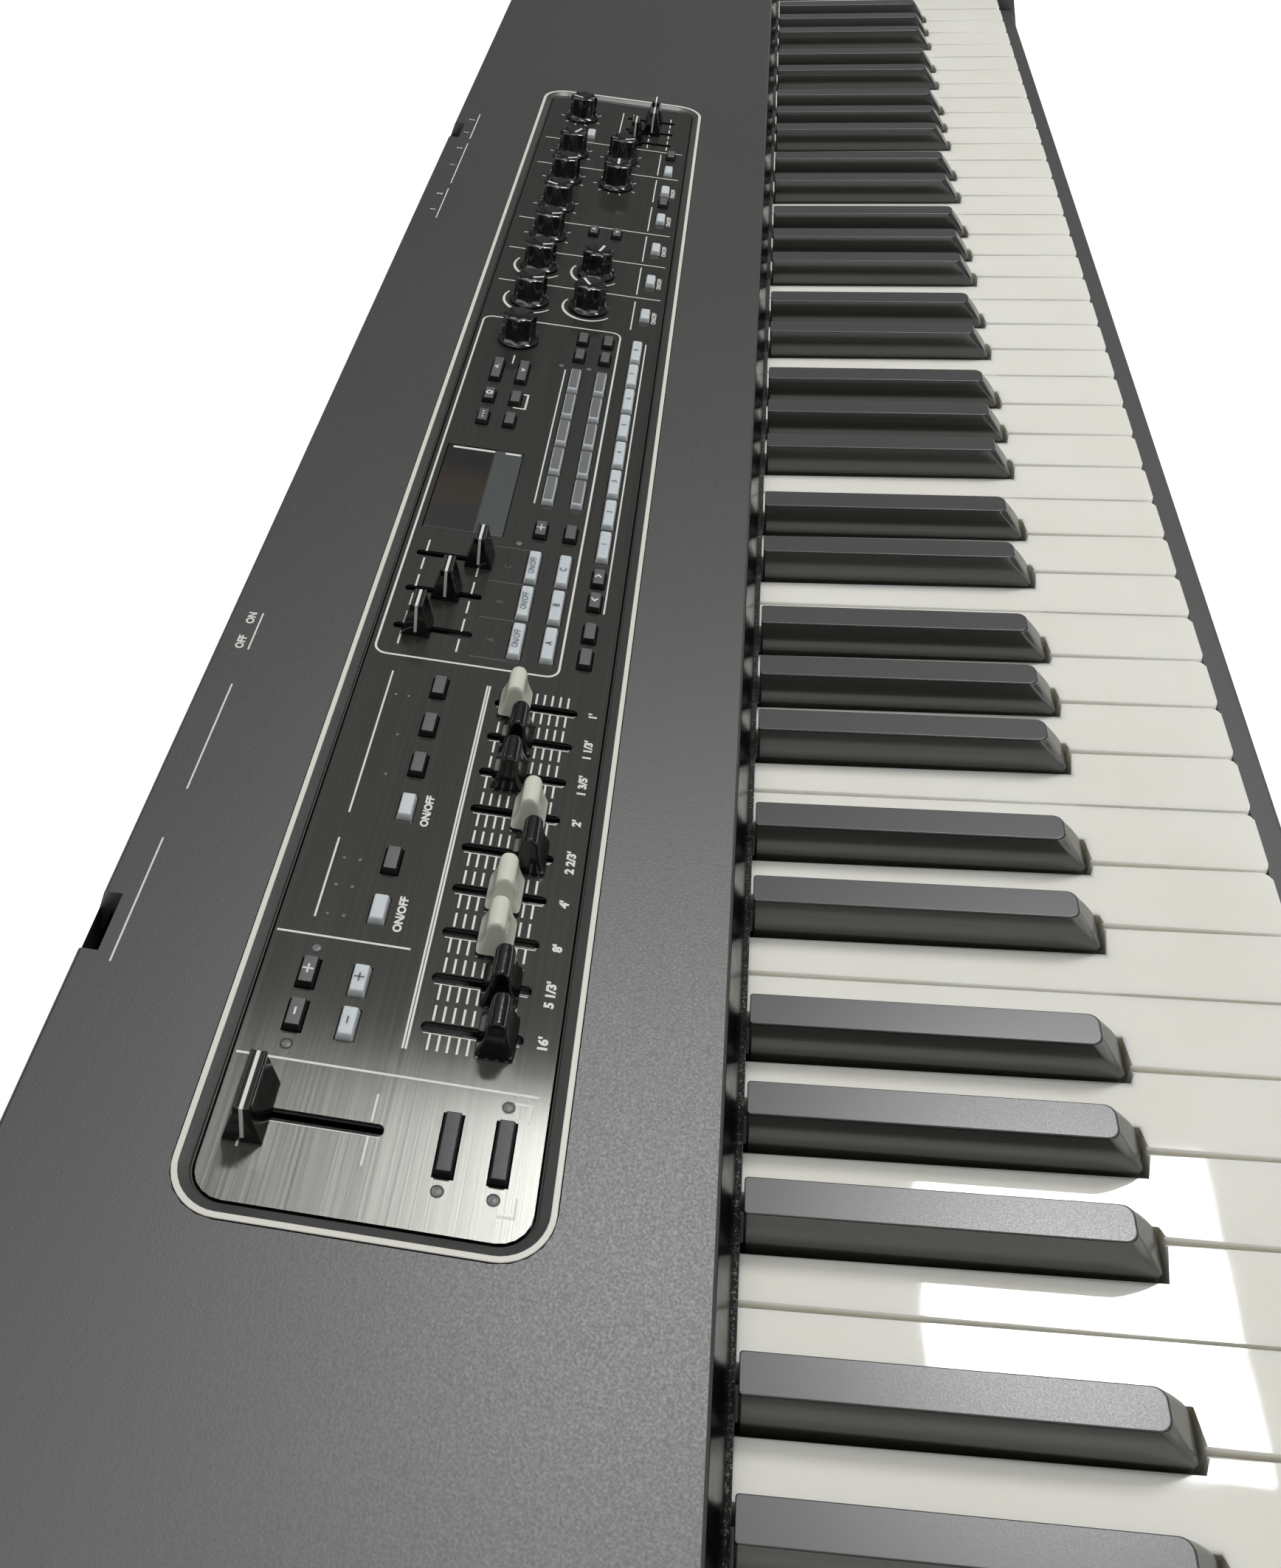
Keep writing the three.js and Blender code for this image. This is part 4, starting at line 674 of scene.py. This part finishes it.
dressNode("darkButtons", "buttons_dark", [darkButtonLitTopFinish, darkSideFinish, wideButtonLitTopFinish],
          buttons["darkEdge"], 2, 30, pickDark, above(buttons["edgesFrom"]), 60)
dressNode("paleButtons", "buttons_pale", [paleFinish, categoryFinish], buttons["paleEdge"], 3, 30,
          pickPale, above(buttons["edgesFrom"]), 60)
print("buttons made")

# sliders
whiteBars = (3, 4, 6, 9)
slots = {"short": 26.0, "long": 36.0, "front": 50.5, "layerFront": 88.5, "masterFront": 79.4}
faderCap = {"top": 11.3, "half": 4.4, "masterHalf": 8.2, "line": 0.92, "ridge": 0.48,
            "ridgeOut": 1.5, "edgesFrom": -0.9}
# end is where the stems and the knobs' shafts stop, over the circuit board
stem = {"end": -14.1, "halfWidth": 0.7, "halfLength": 2}


def nodeCentre(node):
    low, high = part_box(node)
    centre = inwards @ ((Vector(low) + Vector(high)) / 2)
    return centre.x / mm, centre.y / mm


def addRidge(bm, x0, x1, s, n, radius):
    # a small half-round bar along the body
    turns = [math.radians(a) for a in (0, 36, 72, 108, 144, 180)]
    rings = [[onSlope(x, s + r * math.cos(a), n - 0.1 + (r + 0.1) * math.sin(a)) for a in turns]
             for x, r in ((x0, radius * 0.6), (x0 + 0.3, radius), (x1 - 0.3, radius), (x1, radius * 0.6))]
    addLoft(bm, rings)


def slotOf(node):
    x, s = nodeCentre(node)
    if "master" in node:
        return x, slots["masterFront"], slots["long"]
    return x, slots["layerFront"] if "layer" in node else slots["front"], slots["short"]


for node in sorted(frame["nodes"]):
    body = frame["nodes"][node]["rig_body"]
    if node.startswith("slider_"):
        dressNode(node.replace("slider_", "fader_"), node, [capFinish], 0.4, 3, 25, None,
                  above(faderCap["edgesFrom"]), 40)
        x, s = nodeCentre(node)
        half = faderCap["masterHalf"] if "master" in node else faderCap["half"]
        top = faderCap["top"]
        bm = bmesh.new()
        # two ridges to grip, and a pale line between them that runs down the near end of the cap
        for side in (-1, 1):
            addRidge(bm, x - half * 0.95, x + half * 0.95, s + side * faderCap["ridgeOut"], top,
                     faderCap["ridge"])
        addPiece(node.replace("slider_", "faderGrip_"), bm, [capFinish], body)
        bm = bmesh.new()
        width = faderCap["line"] / 2
        face = x - half * 0.97
        addSlab(bm, face, x + half * 0.93, s - width, s + width, top - 0.2, top + 0.14)
        foot = x - half
        low = [onSlope(px, ps, n) for px, ps, n in
               ((foot - 0.05, s - width, 0.4), (foot - 0.05, s + width, 0.4),
                (foot + 0.3, s + width, 0.4), (foot + 0.3, s - width, 0.4))]
        high = [onSlope(px, ps, n) for px, ps, n in
                ((face - 0.07, s - width, top + 0.1), (face - 0.07, s + width, top + 0.1),
                 (face + 0.3, s + width, top + 0.1), (face + 0.3, s - width, top + 0.1))]
        addLoft(bm, [low, high])
        addPiece(node.replace("slider_", "faderLine_"), bm, [inkAndHighlightFinish], body)

drawbar = {"base": 6.7, "half": 5.0, "ridge": 2.65, "ridgeHalf": 5.2, "height": 12.2, "foot": 0.3,
           "flare": 1.9, "steps": 7, "sides": 40, "square": 9, "softer": 6, "first": -279.6, "pitch": 15.04,
           "count": 9}


def addDrawbar(node):
    # a half-round ridge along the body over a base that flares to the sides, with flat ends
    x, s = nodeCentre(node)
    base = panel["top"] + drawbar["foot"]
    crest = panel["top"] + drawbar["height"]
    neck = crest - drawbar["ridge"]
    steps, square, softer = drawbar["steps"], drawbar["square"], drawbar["softer"]
    # height, half length, half width and squareness of each ring, from the foot up
    levels = [(base, drawbar["base"], drawbar["half"], square),
              (base + 0.7, drawbar["base"], drawbar["half"], square),
              (base + 0.9, drawbar["base"] - 0.15, drawbar["half"] - 0.2, square)]
    for i in range(1, steps + 1):
        share = i / steps
        flare = (1 - share) ** drawbar["flare"]
        levels.append((base + 0.9 + share * (neck - base - 0.9),
                       drawbar["ridgeHalf"] + (drawbar["base"] - 0.15 - drawbar["ridgeHalf"]) * (1 - share),
                       drawbar["ridge"] + (drawbar["half"] - 0.2 - drawbar["ridge"]) * flare, square))
    for turn in (15, 30, 45, 58, 70, 80, 87):
        a = math.radians(turn)
        levels.append((neck + drawbar["ridge"] * math.sin(a), drawbar["ridgeHalf"] - 0.9 * (1 - math.cos(a)),
                       drawbar["ridge"] * math.cos(a), softer))
    rings = []
    for n, length, width, power in levels:
        ringPoints = []
        for i in range(drawbar["sides"]):
            a = 2 * math.pi * (i + 0.5) / drawbar["sides"]
            dx = math.copysign(abs(math.cos(a)) ** (2 / power), math.cos(a)) * length
            ds = math.copysign(abs(math.sin(a)) ** (2 / power), math.sin(a)) * width
            ringPoints.append(onSlope(x + dx, s + ds, n))
        rings.append(ringPoints)
    bm = bmesh.new()
    addLoft(bm, rings, True, lambda r: 1 if r < 2 else 0)
    x0, x1 = x - stem["halfWidth"], x + stem["halfWidth"]
    s0, s1 = s - stem["halfLength"], s + stem["halfLength"]
    outline = [(x0, s0), (x1, s0), (x1, s1), (x0, s1)]
    addLoft(bm, [[onSlope(px, ps, n) for px, ps in outline] for n in (stem["end"], base + 0.5)],
            True, lambda r: 1)
    white = int(node.split("_")[1]) in whiteBars
    addPiece(node.replace("drawbar_", "drawbarCap_"), bm, [whiteCapFinish if white else capFinish, capFinish],
             frame["nodes"][node]["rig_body"], (node,), 50)


for node in sorted(frame["nodes"]):
    if node.startswith("drawbar_"):
        addDrawbar(node)


flap = {"outer": 1.6, "inner": 0.8}


def addFlaps():
    # two dust flaps in each slot, narrower at their ends, and rising a little towards the stem's slit
    bm = bmesh.new()
    for node in frame["nodes"]:
        if not node.startswith(("slider_", "drawbar_")):
            continue
        x, front, length = slotOf(node)
        for side in (-1, 1):
            outer, inner = x + side * flap["outer"], x + side * flap["inner"]
            rings = []
            for s, squeeze in ((front + 0.1, 0.5), (front + 0.8, 0.12), (front + 1.6, 0.0),
                               (front + length - 1.6, 0.0), (front + length - 0.8, 0.12),
                               (front + length - 0.1, 0.5)):
                out = outer + (inner - outer) * squeeze
                rings.append([onSlope(out, s, panel["top"] - 0.42), onSlope(inner, s, panel["top"] - 0.33),
                              onSlope(inner, s, panel["top"] - 0.5), onSlope(out, s, panel["top"] - 0.6)])
            addLoft(bm, rings)
    addPiece("slotFlaps", bm, [flapFinish], "case")


addFlaps()
print("sliders made")

# knobs
knob = {"sides": 96, "flutes": 8, "depth": 0.14, "skirt": 8.8, "body": 7.2, "waist": 7.05, "waistUp": 6.2,
        "top": 7.1, "shaft": 3.0, "height": 12.3, "foot": 0.3, "rim": 1.0, "flare": 2.7, "indexHalf": 0.57,
        "restAngle": -90}
# which way each index points in degrees, 0 to the right along the body and 90 to the rear
knobIndexAngles = {"knob_upper_1": -90, "knob_upper_2": -90, "knob_upper_3": -90, "knob_upper_4": 90,
                   "knob_upper_5": -90, "knob_upper_6": -41, "knob_upper_7": 90, "knob_lower_1": 40,
                   "knob_lower_2": -25, "knob_lower_3": 0, "knob_lower_4": -90}


def addKnob(node):
    x, s = nodeCentre(node)
    base = panel["top"] + knob["foot"]
    top = panel["top"] + knob["height"]
    rim = base + knob["rim"]
    turned = math.radians(knobIndexAngles.get(node, knob["restAngle"]))
    # radius, height and how deep the flutes are there: shaft, skirt, body, rounded rim and dished top
    levels = [(knob["shaft"], stem["end"], 0), (knob["shaft"], base, 0),
              (knob["skirt"] - 0.25, base, 0), (knob["skirt"], base + 0.2, 0), (knob["skirt"], rim - 0.15, 0),
              (knob["skirt"] - 0.15, rim, 0), (knob["skirt"] - 0.55, rim + 0.12, 0.25),
              (knob["body"] + 0.75, base + 1.5, 0.7), (knob["body"] + 0.25, base + 2.0, 0.95),
              (knob["body"], base + knob["flare"], 1), (knob["waist"], base + knob["waistUp"], 1),
              (knob["top"], top - 0.7, 1), (knob["top"] - 0.06, top - 0.35, 1),
              (knob["top"] - 0.3, top - 0.08, 1), (knob["top"] - 0.5, top, 1),
              (knob["top"] * 0.62, top - 0.45, 1.2), (knob["top"] * 0.3, top - 0.85, 0.6),
              (0.3, top - 0.95, 0)]
    rings = []
    for radius, n, flute in levels:
        points = []
        for i in range(knob["sides"]):
            angle = 2 * math.pi * i / knob["sides"]
            hollow = abs(math.sin(knob["flutes"] * (angle - turned) / 2))  # 0 at the ribs, 1 between them
            r = radius * (1 - knob["depth"] * flute * hollow)
            points.append(onSlope(x + r * math.cos(angle), s + r * math.sin(angle), n))
        rings.append(points)
    bm = bmesh.new()
    addLoft(bm, rings)
    body = frame["nodes"][node]["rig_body"]
    addPiece(node.replace("knob_", "dial_"), bm, [knobFinish], body, (node,), 26)
    if node in knobIndexAngles:
        turn = math.radians(knobIndexAngles[node])
        along = Vector((math.cos(turn), math.sin(turn)))
        across = Vector((-along.y, along.x)) * knob["indexHalf"]
        centre = Vector((x, s))
        bm = bmesh.new()
        # the bar follows the dished top out to the rim
        sections = []
        for reach, drop in ((0.7, -0.86), (2.6, -0.62), (4.0, -0.3), (5.3, 0.06)):
            ends = (centre + along * reach - across, centre + along * reach + across)
            sections.append([onSlope(p.x, p.y, top + drop - lower) for p, lower in
                             ((ends[0], 0.3), (ends[1], 0.3), (ends[1], 0.0), (ends[0], 0.0))])
        addLoft(bm, sections)
        addPiece(node.replace("knob_", "indexBar_"), bm, [inkAndHighlightFinish], body)
    return x, s


knobPlaces = {node: addKnob(node) for node in sorted(frame["nodes"]) if node.startswith("knob_")}
print("knobs made")

# print on the panel, the cover and the buttons, and painted highlights along some slots
ink = {"low": 0.004, "high": 0.03, "capitalShare": 0.7}      # capitals are that share of the font's size
ticks = {"from": 1.95, "drawbarTo": 6.7, "layerTo": 8.4, "equaliserTo": 6.2, "masterTo": 9.5,
         "front": 53.9, "travel": 19.9}


def addStroke(bm, points, width, surface):
    # a flat line of ink through points on the slope; three widths stand for its start, middle and end
    rows = []
    for i, point in enumerate(points):
        here = Vector(point)
        before = (here - Vector(points[i - 1])).normalized() if i else None
        after = (Vector(points[i + 1]) - here).normalized() if i + 1 < len(points) else None
        way = ((before or after) + (after or before)).normalized()
        side = Vector((-way.y, way.x))
        wide = width
        if isinstance(width, tuple):
            share = 2 * i / (len(points) - 1)
            wide = (width[0] * (1 - share) + width[1] * share if share < 1
                    else width[1] * (2 - share) + width[2] * (share - 1))
        reach = wide / 2 / max(0.5, side.dot(Vector((-(after or before).y, (after or before).x))))
        left, right = here + side * reach, here - side * reach
        low, high = surface + ink["low"], surface + ink["high"]
        rows.append([onSlope(left.x, left.y, low), onSlope(right.x, right.y, low),
                     onSlope(right.x, right.y, high), onSlope(left.x, left.y, high)])
    addLoft(bm, rows)


def addArc(bm, x, s, radius, start, end, width, surface):
    count = max(4, int(abs(end - start) / 8))
    turns = [math.radians(start + (end - start) * i / count) for i in range(count + 1)]
    addStroke(bm, [(x + radius * math.cos(a), s + radius * math.sin(a)) for a in turns], width, surface)


def addDisc(bm, x, s, radius, low, high, dome=0.0, sides=20):
    # a round spot, flat or domed a little
    turns = [2 * math.pi * i / sides for i in range(sides)]
    rings = [[onSlope(x + r * math.cos(a), s + r * math.sin(a), n) for a in turns]
             for r, n in ((radius, low), (radius, high),
                          (radius * 0.7, high + dome * 0.6), (radius * 0.3, high + dome))]
    addLoft(bm, rings)


def addText(bm, text, x, s, height, surface, squeeze=0.82, bold=0.02):
    curve = bpy.data.curves.new("letters", "FONT")
    curve.body = text
    curve.size = height / ink["capitalShare"] * mm
    curve.extrude = ink["high"] / 2 * mm
    curve.offset = bold * height * mm
    curve.align_x = "CENTER"
    curve.align_y = "CENTER"
    curve.resolution_u = 3
    letters = bpy.data.objects.new("letters", curve)
    mesh = bpy.data.meshes.new_from_object(letters)
    stretch = Matrix.Diagonal((squeeze, 1, 1, 1))
    middle = surface + ink["high"] / 2 + 0.002
    mesh.transform(slopeFrame @ Matrix.Translation((x * mm, s * mm, middle * mm)) @ stretch)
    bm.from_mesh(mesh)
    bpy.data.meshes.remove(mesh)
    bpy.data.objects.remove(letters)
    bpy.data.curves.remove(curve)


def panelLines():
    bm = bmesh.new()
    top = panel["top"]
    # lines between the groups, from the front of the panel to its rear
    for x, s0, s1 in ((-294.8, 44.6, 119), (-257, 83.6, 119), (115.9, 44, 117.3), (148.6, 44, 117.3),
                      (181.6, 44, 117.3), (247.9, 44, 117.3), (281.1, 44, 117.3)):
        addStroke(bm, [(x, s0), (x, s1)], 0.62, top)
    # rounded frame round the layer, display and category groups
    frameLine = roundedRect(-144, 81.2, 58.6, 118, 4, 5)
    addStroke(bm, frameLine + frameLine[:1], 0.74, top)
    # lines along the panel: a double one behind the drawbars, then one for each heading
    for s in (78.95, 79.75):
        addStroke(bm, [(-286.9, s), (-152.3, s)], 0.56, top)
    for x0, x1, s in ((-251.1, -222.8, 110.5), (-213, -151.7, 110), (-51.6, 45.1, 78.6), (-109.1, 74.9, 47.3),
                      (85.9, 112, 55), (118.8, 145.5, 55), (151.7, 178.5, 55), (184.6, 212, 55),
                      (217.8, 244.8, 55), (251, 278, 55), (284.8, 328, 79.3), (44, 51.1, 100.6)):
        addStroke(bm, [(x0, s), (x1, s)], 0.55, top)
    addStroke(bm, [(21.2, 92.6), (21.2, 90.7), (10.6, 90.7), (10.6, 95.6)], 0.75, top)
    addStroke(bm, [(-326.4, 50.2), (-326.4, 46.2), (-321.4, 46.2)], 0.6, top)
    addStroke(bm, [(-297.4, 50.2), (-297.4, 46.2), (-302.4, 46.2)], 0.6, top)
    # tick dashes on both sides of the slots: 0 to 8 at each drawbar, then layers, equaliser and master
    lastTick = 8
    for i in range(drawbar["count"]):
        x = drawbar["first"] + drawbar["pitch"] * i
        for k in range(lastTick + 1):
            s = ticks["front"] + ticks["travel"] * k / lastTick
            for side in (-1, 1):
                addStroke(bm, [(x + side * ticks["from"], s), (x + side * ticks["drawbarTo"], s)], 0.6, top)
    for rows, centres, reach in (((92.3, 111.3), (-130.2, -110.4, -90.6), ticks["layerTo"]),
                                 ((52.8, 63.1, 73.5), (290.6, 306.0, 321.4), ticks["equaliserTo"]),
                                 ((82.8, 112.0), (-309.9,), ticks["masterTo"])):
        for s in rows:
            for x in centres:
                for side in (-1, 1):
                    addStroke(bm, [(x + side * ticks["from"], s), (x + side * reach, s)], 0.6, top)
    # a painted highlight in white ink along the left edge of the drawbars' slots and of the master slider's
    for node in frame["nodes"]:
        if node.startswith(("drawbar_", "slider_master")):
            x, front, length = slotOf(node)
            addStroke(bm, [(x - 1.82, front + 0.9), (x - 1.82, front + length - 0.9)], 0.26, top)
    # scales round the knobs: a swelling arc at the left ones, dashes at the others, none at the encoder
    for node, (x, s) in knobPlaces.items():
        if node in ("knob_upper_1", "knob_upper_2", "knob_lower_1", "knob_lower_2"):
            addArc(bm, x, s, 11.4, -125, -300, (0.5, 1.5, 0.7), top)
        elif node != "knob_encoder":
            for turn in (-60, -15, 15, 45, 90, 135, 165, 195, 240):
                a = math.radians(turn)
                addStroke(bm, [(x + r * math.cos(a), s + r * math.sin(a)) for r in (9.8, 11.5)], 0.6, top)
    for i, footage in enumerate(("16", "5 1/3", "8", "4", "2 2/3", "2", "1 3/5", "1 1/3", "1")):
        addText(bm, footage + "'", drawbar["first"] + drawbar["pitch"] * i, 45.6, 2.35, top, 1.1, 0.07)
    for x in (-246.2, -208.3):
        addText(bm, "ON/OFF", x, 88.3, 2.2, top, 1.05, 0.06)
    for x in (98.7, 131.6, 164.8, 197.8, 230.7):
        addText(bm, "ON/OFF", x, 45.6, 2.0, top, 1.0, 0.04)
    addPiece("panelPrintAndSlotHighlights", bm, [inkAndHighlightFinish], "case")
    bm = bmesh.new()
    for x in (-139.5, -119.4, -99.8, -80.2):
        addStroke(bm, [(x, 76), (x, 88)], 0.4, top)
    for x, letter in ((-130.2, "A"), (-110.4, "B"), (-90.8, "C")):
        addText(bm, letter, x, 82.3, 2.3, top)
    addPiece("faintPrint", bm, [faintInkFinish], "case")


panelLines()


def coverLines():
    bm = bmesh.new()
    for x0, x1, s in ((-275.8, -233.5, 157), (-214.7, -169.7, 156.3), (-153.3, -135.2, 156),
                      (165, 198.5, 155), (205, 255.5, 155), (261.7, 295.8, 155)):
        addStroke(bm, [(x0, s), (x1, s)], 0.5, 0)
    for text, x, s in (("OFF", -150.2, 159), ("ON", -138.2, 159), ("1", 173.8, 158), ("2", 191.7, 158)):
        addText(bm, text, x, s, 2.5, 0, 1.0, 0.05)
    for x in (227.0, 248.5, 269.5, 287.0):
        addText(bm, "1" if x in (227.0, 269.5) else "2", x, 158, 2.5, 0, 0.75, 0.05)
    addPiece("coverPrint", bm, [inkAndHighlightFinish], "case")


coverLines()


def buttonMarks():
    top = panel["top"] + buttons["proud"]
    # on the dark buttons: minus and plus, arrows, three dots, a ring and a plus
    bm = bmesh.new()
    addStroke(bm, [(-283.5, 107.7), (-281.3, 107.7)], 0.5, top)
    addStroke(bm, [(-270.7, 107.7), (-267.9, 107.7)], 0.5, top)
    addStroke(bm, [(-269.3, 106.3), (-269.3, 109.1)], 0.5, top)
    for x, s, turn in ((-104.5, 51.1, 180), (-91.6, 51.1, 0), (174.8, 80.3, 90), (174.8, 69.3, -90),
                       (36.6, 105.9, 90), (36.6, 95.3, -90)):
        a = math.radians(turn)
        corner = [(-0.6, 1.1), (0.7, 0.0), (-0.6, -1.1)]
        addStroke(bm, [(x + px * math.cos(a) - py * math.sin(a), s + px * math.sin(a) + py * math.cos(a))
                       for px, py in corner], 0.62, top)
    for x in (-2.0, -0.1, 1.8):
        addDisc(bm, x, 105.9, 0.42, top, top + 0.03, 0.0, 8)
    addArc(bm, 16.2, 105.9, 1.1, 0, 360, 0.7, top)
    addStroke(bm, [(-70.2, 74.0), (-66.8, 74.0)], 0.45, top)
    addStroke(bm, [(-68.5, 72.4), (-68.5, 75.6)], 0.45, top)
    addPiece("darkMarks", bm, [inkAndHighlightFinish], "buttons_dark")
    # on the pale buttons: minus and plus, letters and numbers
    bm = bmesh.new()
    addStroke(bm, [(-283.8, 94.4), (-281.6, 94.4)], 0.4, top)
    addStroke(bm, [(-270.8, 94.4), (-268.2, 94.4)], 0.4, top)
    addStroke(bm, [(-269.5, 93.1), (-269.5, 95.7)], 0.4, top)
    for x, letter in ((-130.2, "A"), (-110.4, "B"), (-90.8, "C")):
        addText(bm, "ON/OFF", x, 74.0, 2.2, top, 0.8, 0.0)
        addText(bm, letter, x, 63.3, 2.3, top, 0.85)
    for i in range(8):
        addText(bm, str(i + 1), -73 + 19.8 * i, 50.9, 1.9, top, 0.85)
    addPiece("paleMarks", bm, [greyInkFinish], "buttons_pale")


buttonMarks()


lamp = {"large": 1.1, "small": 0.5, "dome": 0.12, "rimOut": 0.28, "rimWidth": 0.5}


def addLamps():
    # lamps set in the panel, each in a dark rim
    lenses, rims = bmesh.new(), bmesh.new()
    large = [(-290.6, 107.8), (-261, 107.5), (-322.7, 64.5), (-322.7, 51.5), (-298.6, 51.5), (-76.7, 80.6),
             (48.1, 80.6), (48.1, 69.1)]
    small = [(x, s) for x in (-249.4, -239.4, -229.7) for s in (107.5, 103.1)]
    small += [(-196.2, 103), (-179.4, 103), (-162.1, 103), (-162.1, 107)]
    for places, radius in ((large, lamp["large"]), (small, lamp["small"])):
        for x, s in places:
            addDisc(lenses, x, s, radius, panel["top"] + 0.002, panel["top"] + 0.02, lamp["dome"])
            addArc(rims, x, s, radius + lamp["rimOut"], 0, 360, lamp["rimWidth"], panel["top"])
    addPiece("lampLenses", lenses, [lensFinish], "case")
    addPiece("lampRims", rims, [darkSideFinish], "case")


addLamps()


def addDisplayTrim():
    # the pale inner edge of the display's module at the right end of its window
    bm = bmesh.new()
    n = panel["top"] + 0.01
    for s0, s1 in display["trim"]:
        addSlab(bm, display["right"] - display["trimInner"], display["right"] - display["trimOuter"], s0, s1,
                n - 0.1, n + 0.03)
    addPiece("displayTrim", bm, [inkAndHighlightFinish], "case")


addDisplayTrim()
print("print and lamps made")


# camera, floor and lights
# focal is in pixels of the photograph, whose longer side is tall pixels
photo = {"sensor": 36, "focal": 2152.6, "tall": 2125, "shiftX": 0.041, "shiftY": -0.153,
         "place": (-0.52093, -0.010, 0.45732)}


def addCamera():
    camera = bpy.data.objects.new("photoView", bpy.data.cameras.new("photoView"))
    camera.data.sensor_width = photo["sensor"]
    camera.data.lens = photo["sensor"] * photo["focal"] / photo["tall"]
    camera.data.shift_x = photo["shiftX"]
    camera.data.shift_y = photo["shiftY"]
    camera.data.clip_start = 0.01
    right = Vector((0.11197982, -0.99251758, -0.04867617))
    up = Vector((0.59078104, 0.02710706, 0.80637644))
    back = Vector((-0.79902333, -0.11905484, 0.58939601))
    turn = Matrix((right, up, back)).transposed().to_4x4()
    camera.matrix_world = Matrix.Translation(photo["place"]) @ turn
    bpy.context.scene.collection.objects.link(camera)
    bpy.context.scene.camera = camera


addCamera()


# radius and height of the floor's rings in metres: flat, then curved up, so that a low view ends on it too
floorShape = {"sides": 96, "glow": 0.6,
              "rings": ((7.0, 0.0), (7.8, 0.04), (8.4, 0.2), (8.8, 0.5), (9.0, 0.9), (9.0, 1.3))}


def addFloor():
    finish = newFinish("paleFloor", Roughness=0.8, Emission_Color=(1, 1, 1, 1),
                       Emission_Strength=floorShape["glow"])
    tintBy(finish, addNoise(finish, 3, 3), level(252, 252, 251), level(254, 254, 253))
    bm = bmesh.new()
    turns = [2 * math.pi * i / floorShape["sides"] for i in range(floorShape["sides"])]
    rings = [[(r * math.cos(a), r * math.sin(a), z) for a in turns] for r, z in floorShape["rings"]]
    bm.faces.new(addLoft(bm, rings, False)[0])
    bmesh.ops.recalc_face_normals(bm, faces=bm.faces)
    bmesh.ops.reverse_faces(bm, faces=bm.faces)
    mesh = bpy.data.meshes.new("paleFloor")
    bm.to_mesh(mesh)
    bm.free()
    mesh.materials.append(finish)
    floor = bpy.data.objects.new("paleFloor", mesh)
    bpy.context.scene.collection.objects.link(floor)


addFloor()

# where each light lies, in metres
windowLight = {"x": (0.555, 1.06), "y": (-0.735, -0.275), "z": 2.1, "watts": 22.5}
ceilingLight = {"x": (-1.6, 0.4), "y": (-1.2, 1.6), "z": 2.6, "watts": 21.0}


def addPanelLight(name, place):
    light = bpy.data.lights.new(name, "AREA")
    light.shape = "RECTANGLE"
    light.size = place["x"][1] - place["x"][0]
    light.size_y = place["y"][1] - place["y"][0]
    light.energy = place["watts"]
    holder = bpy.data.objects.new(name, light)
    holder.location = (sum(place["x"]) / 2, sum(place["y"]) / 2, place["z"])
    bpy.context.scene.collection.objects.link(holder)


addPanelLight("windowLight", windowLight)
addPanelLight("ceilingLight", ceilingLight)


sky = {"below": (0.08, 0.08, 0.083, 1), "level": (0.27, 0.27, 0.27, 1), "above": (1.1, 1.1, 1.09, 1),
       "strength": 0.46}


def addSky():
    world = bpy.data.worlds.new("studio")
    world.use_nodes = True
    bpy.context.scene.world = world
    tree = world.node_tree
    place = tree.nodes.new("ShaderNodeTexCoord")
    split = tree.nodes.new("ShaderNodeSeparateXYZ")
    ramp = tree.nodes.new("ShaderNodeValToRGB")
    stops = ramp.color_ramp.elements
    stops[0].position = 0.0
    stops[0].color = sky["below"]
    stops[1].position = 1.0
    stops[1].color = sky["above"]
    stops.new(0.5).color = sky["level"]
    tree.links.new(place.outputs["Generated"], split.inputs["Vector"])
    tree.links.new(split.outputs["Z"], ramp.inputs["Fac"])
    tree.links.new(ramp.outputs["Color"], tree.nodes["Background"].inputs["Color"])
    tree.nodes["Background"].inputs["Strength"].default_value = sky["strength"]


addSky()
bpy.context.scene.view_settings.view_transform = "Standard"
print("camera and lights made")
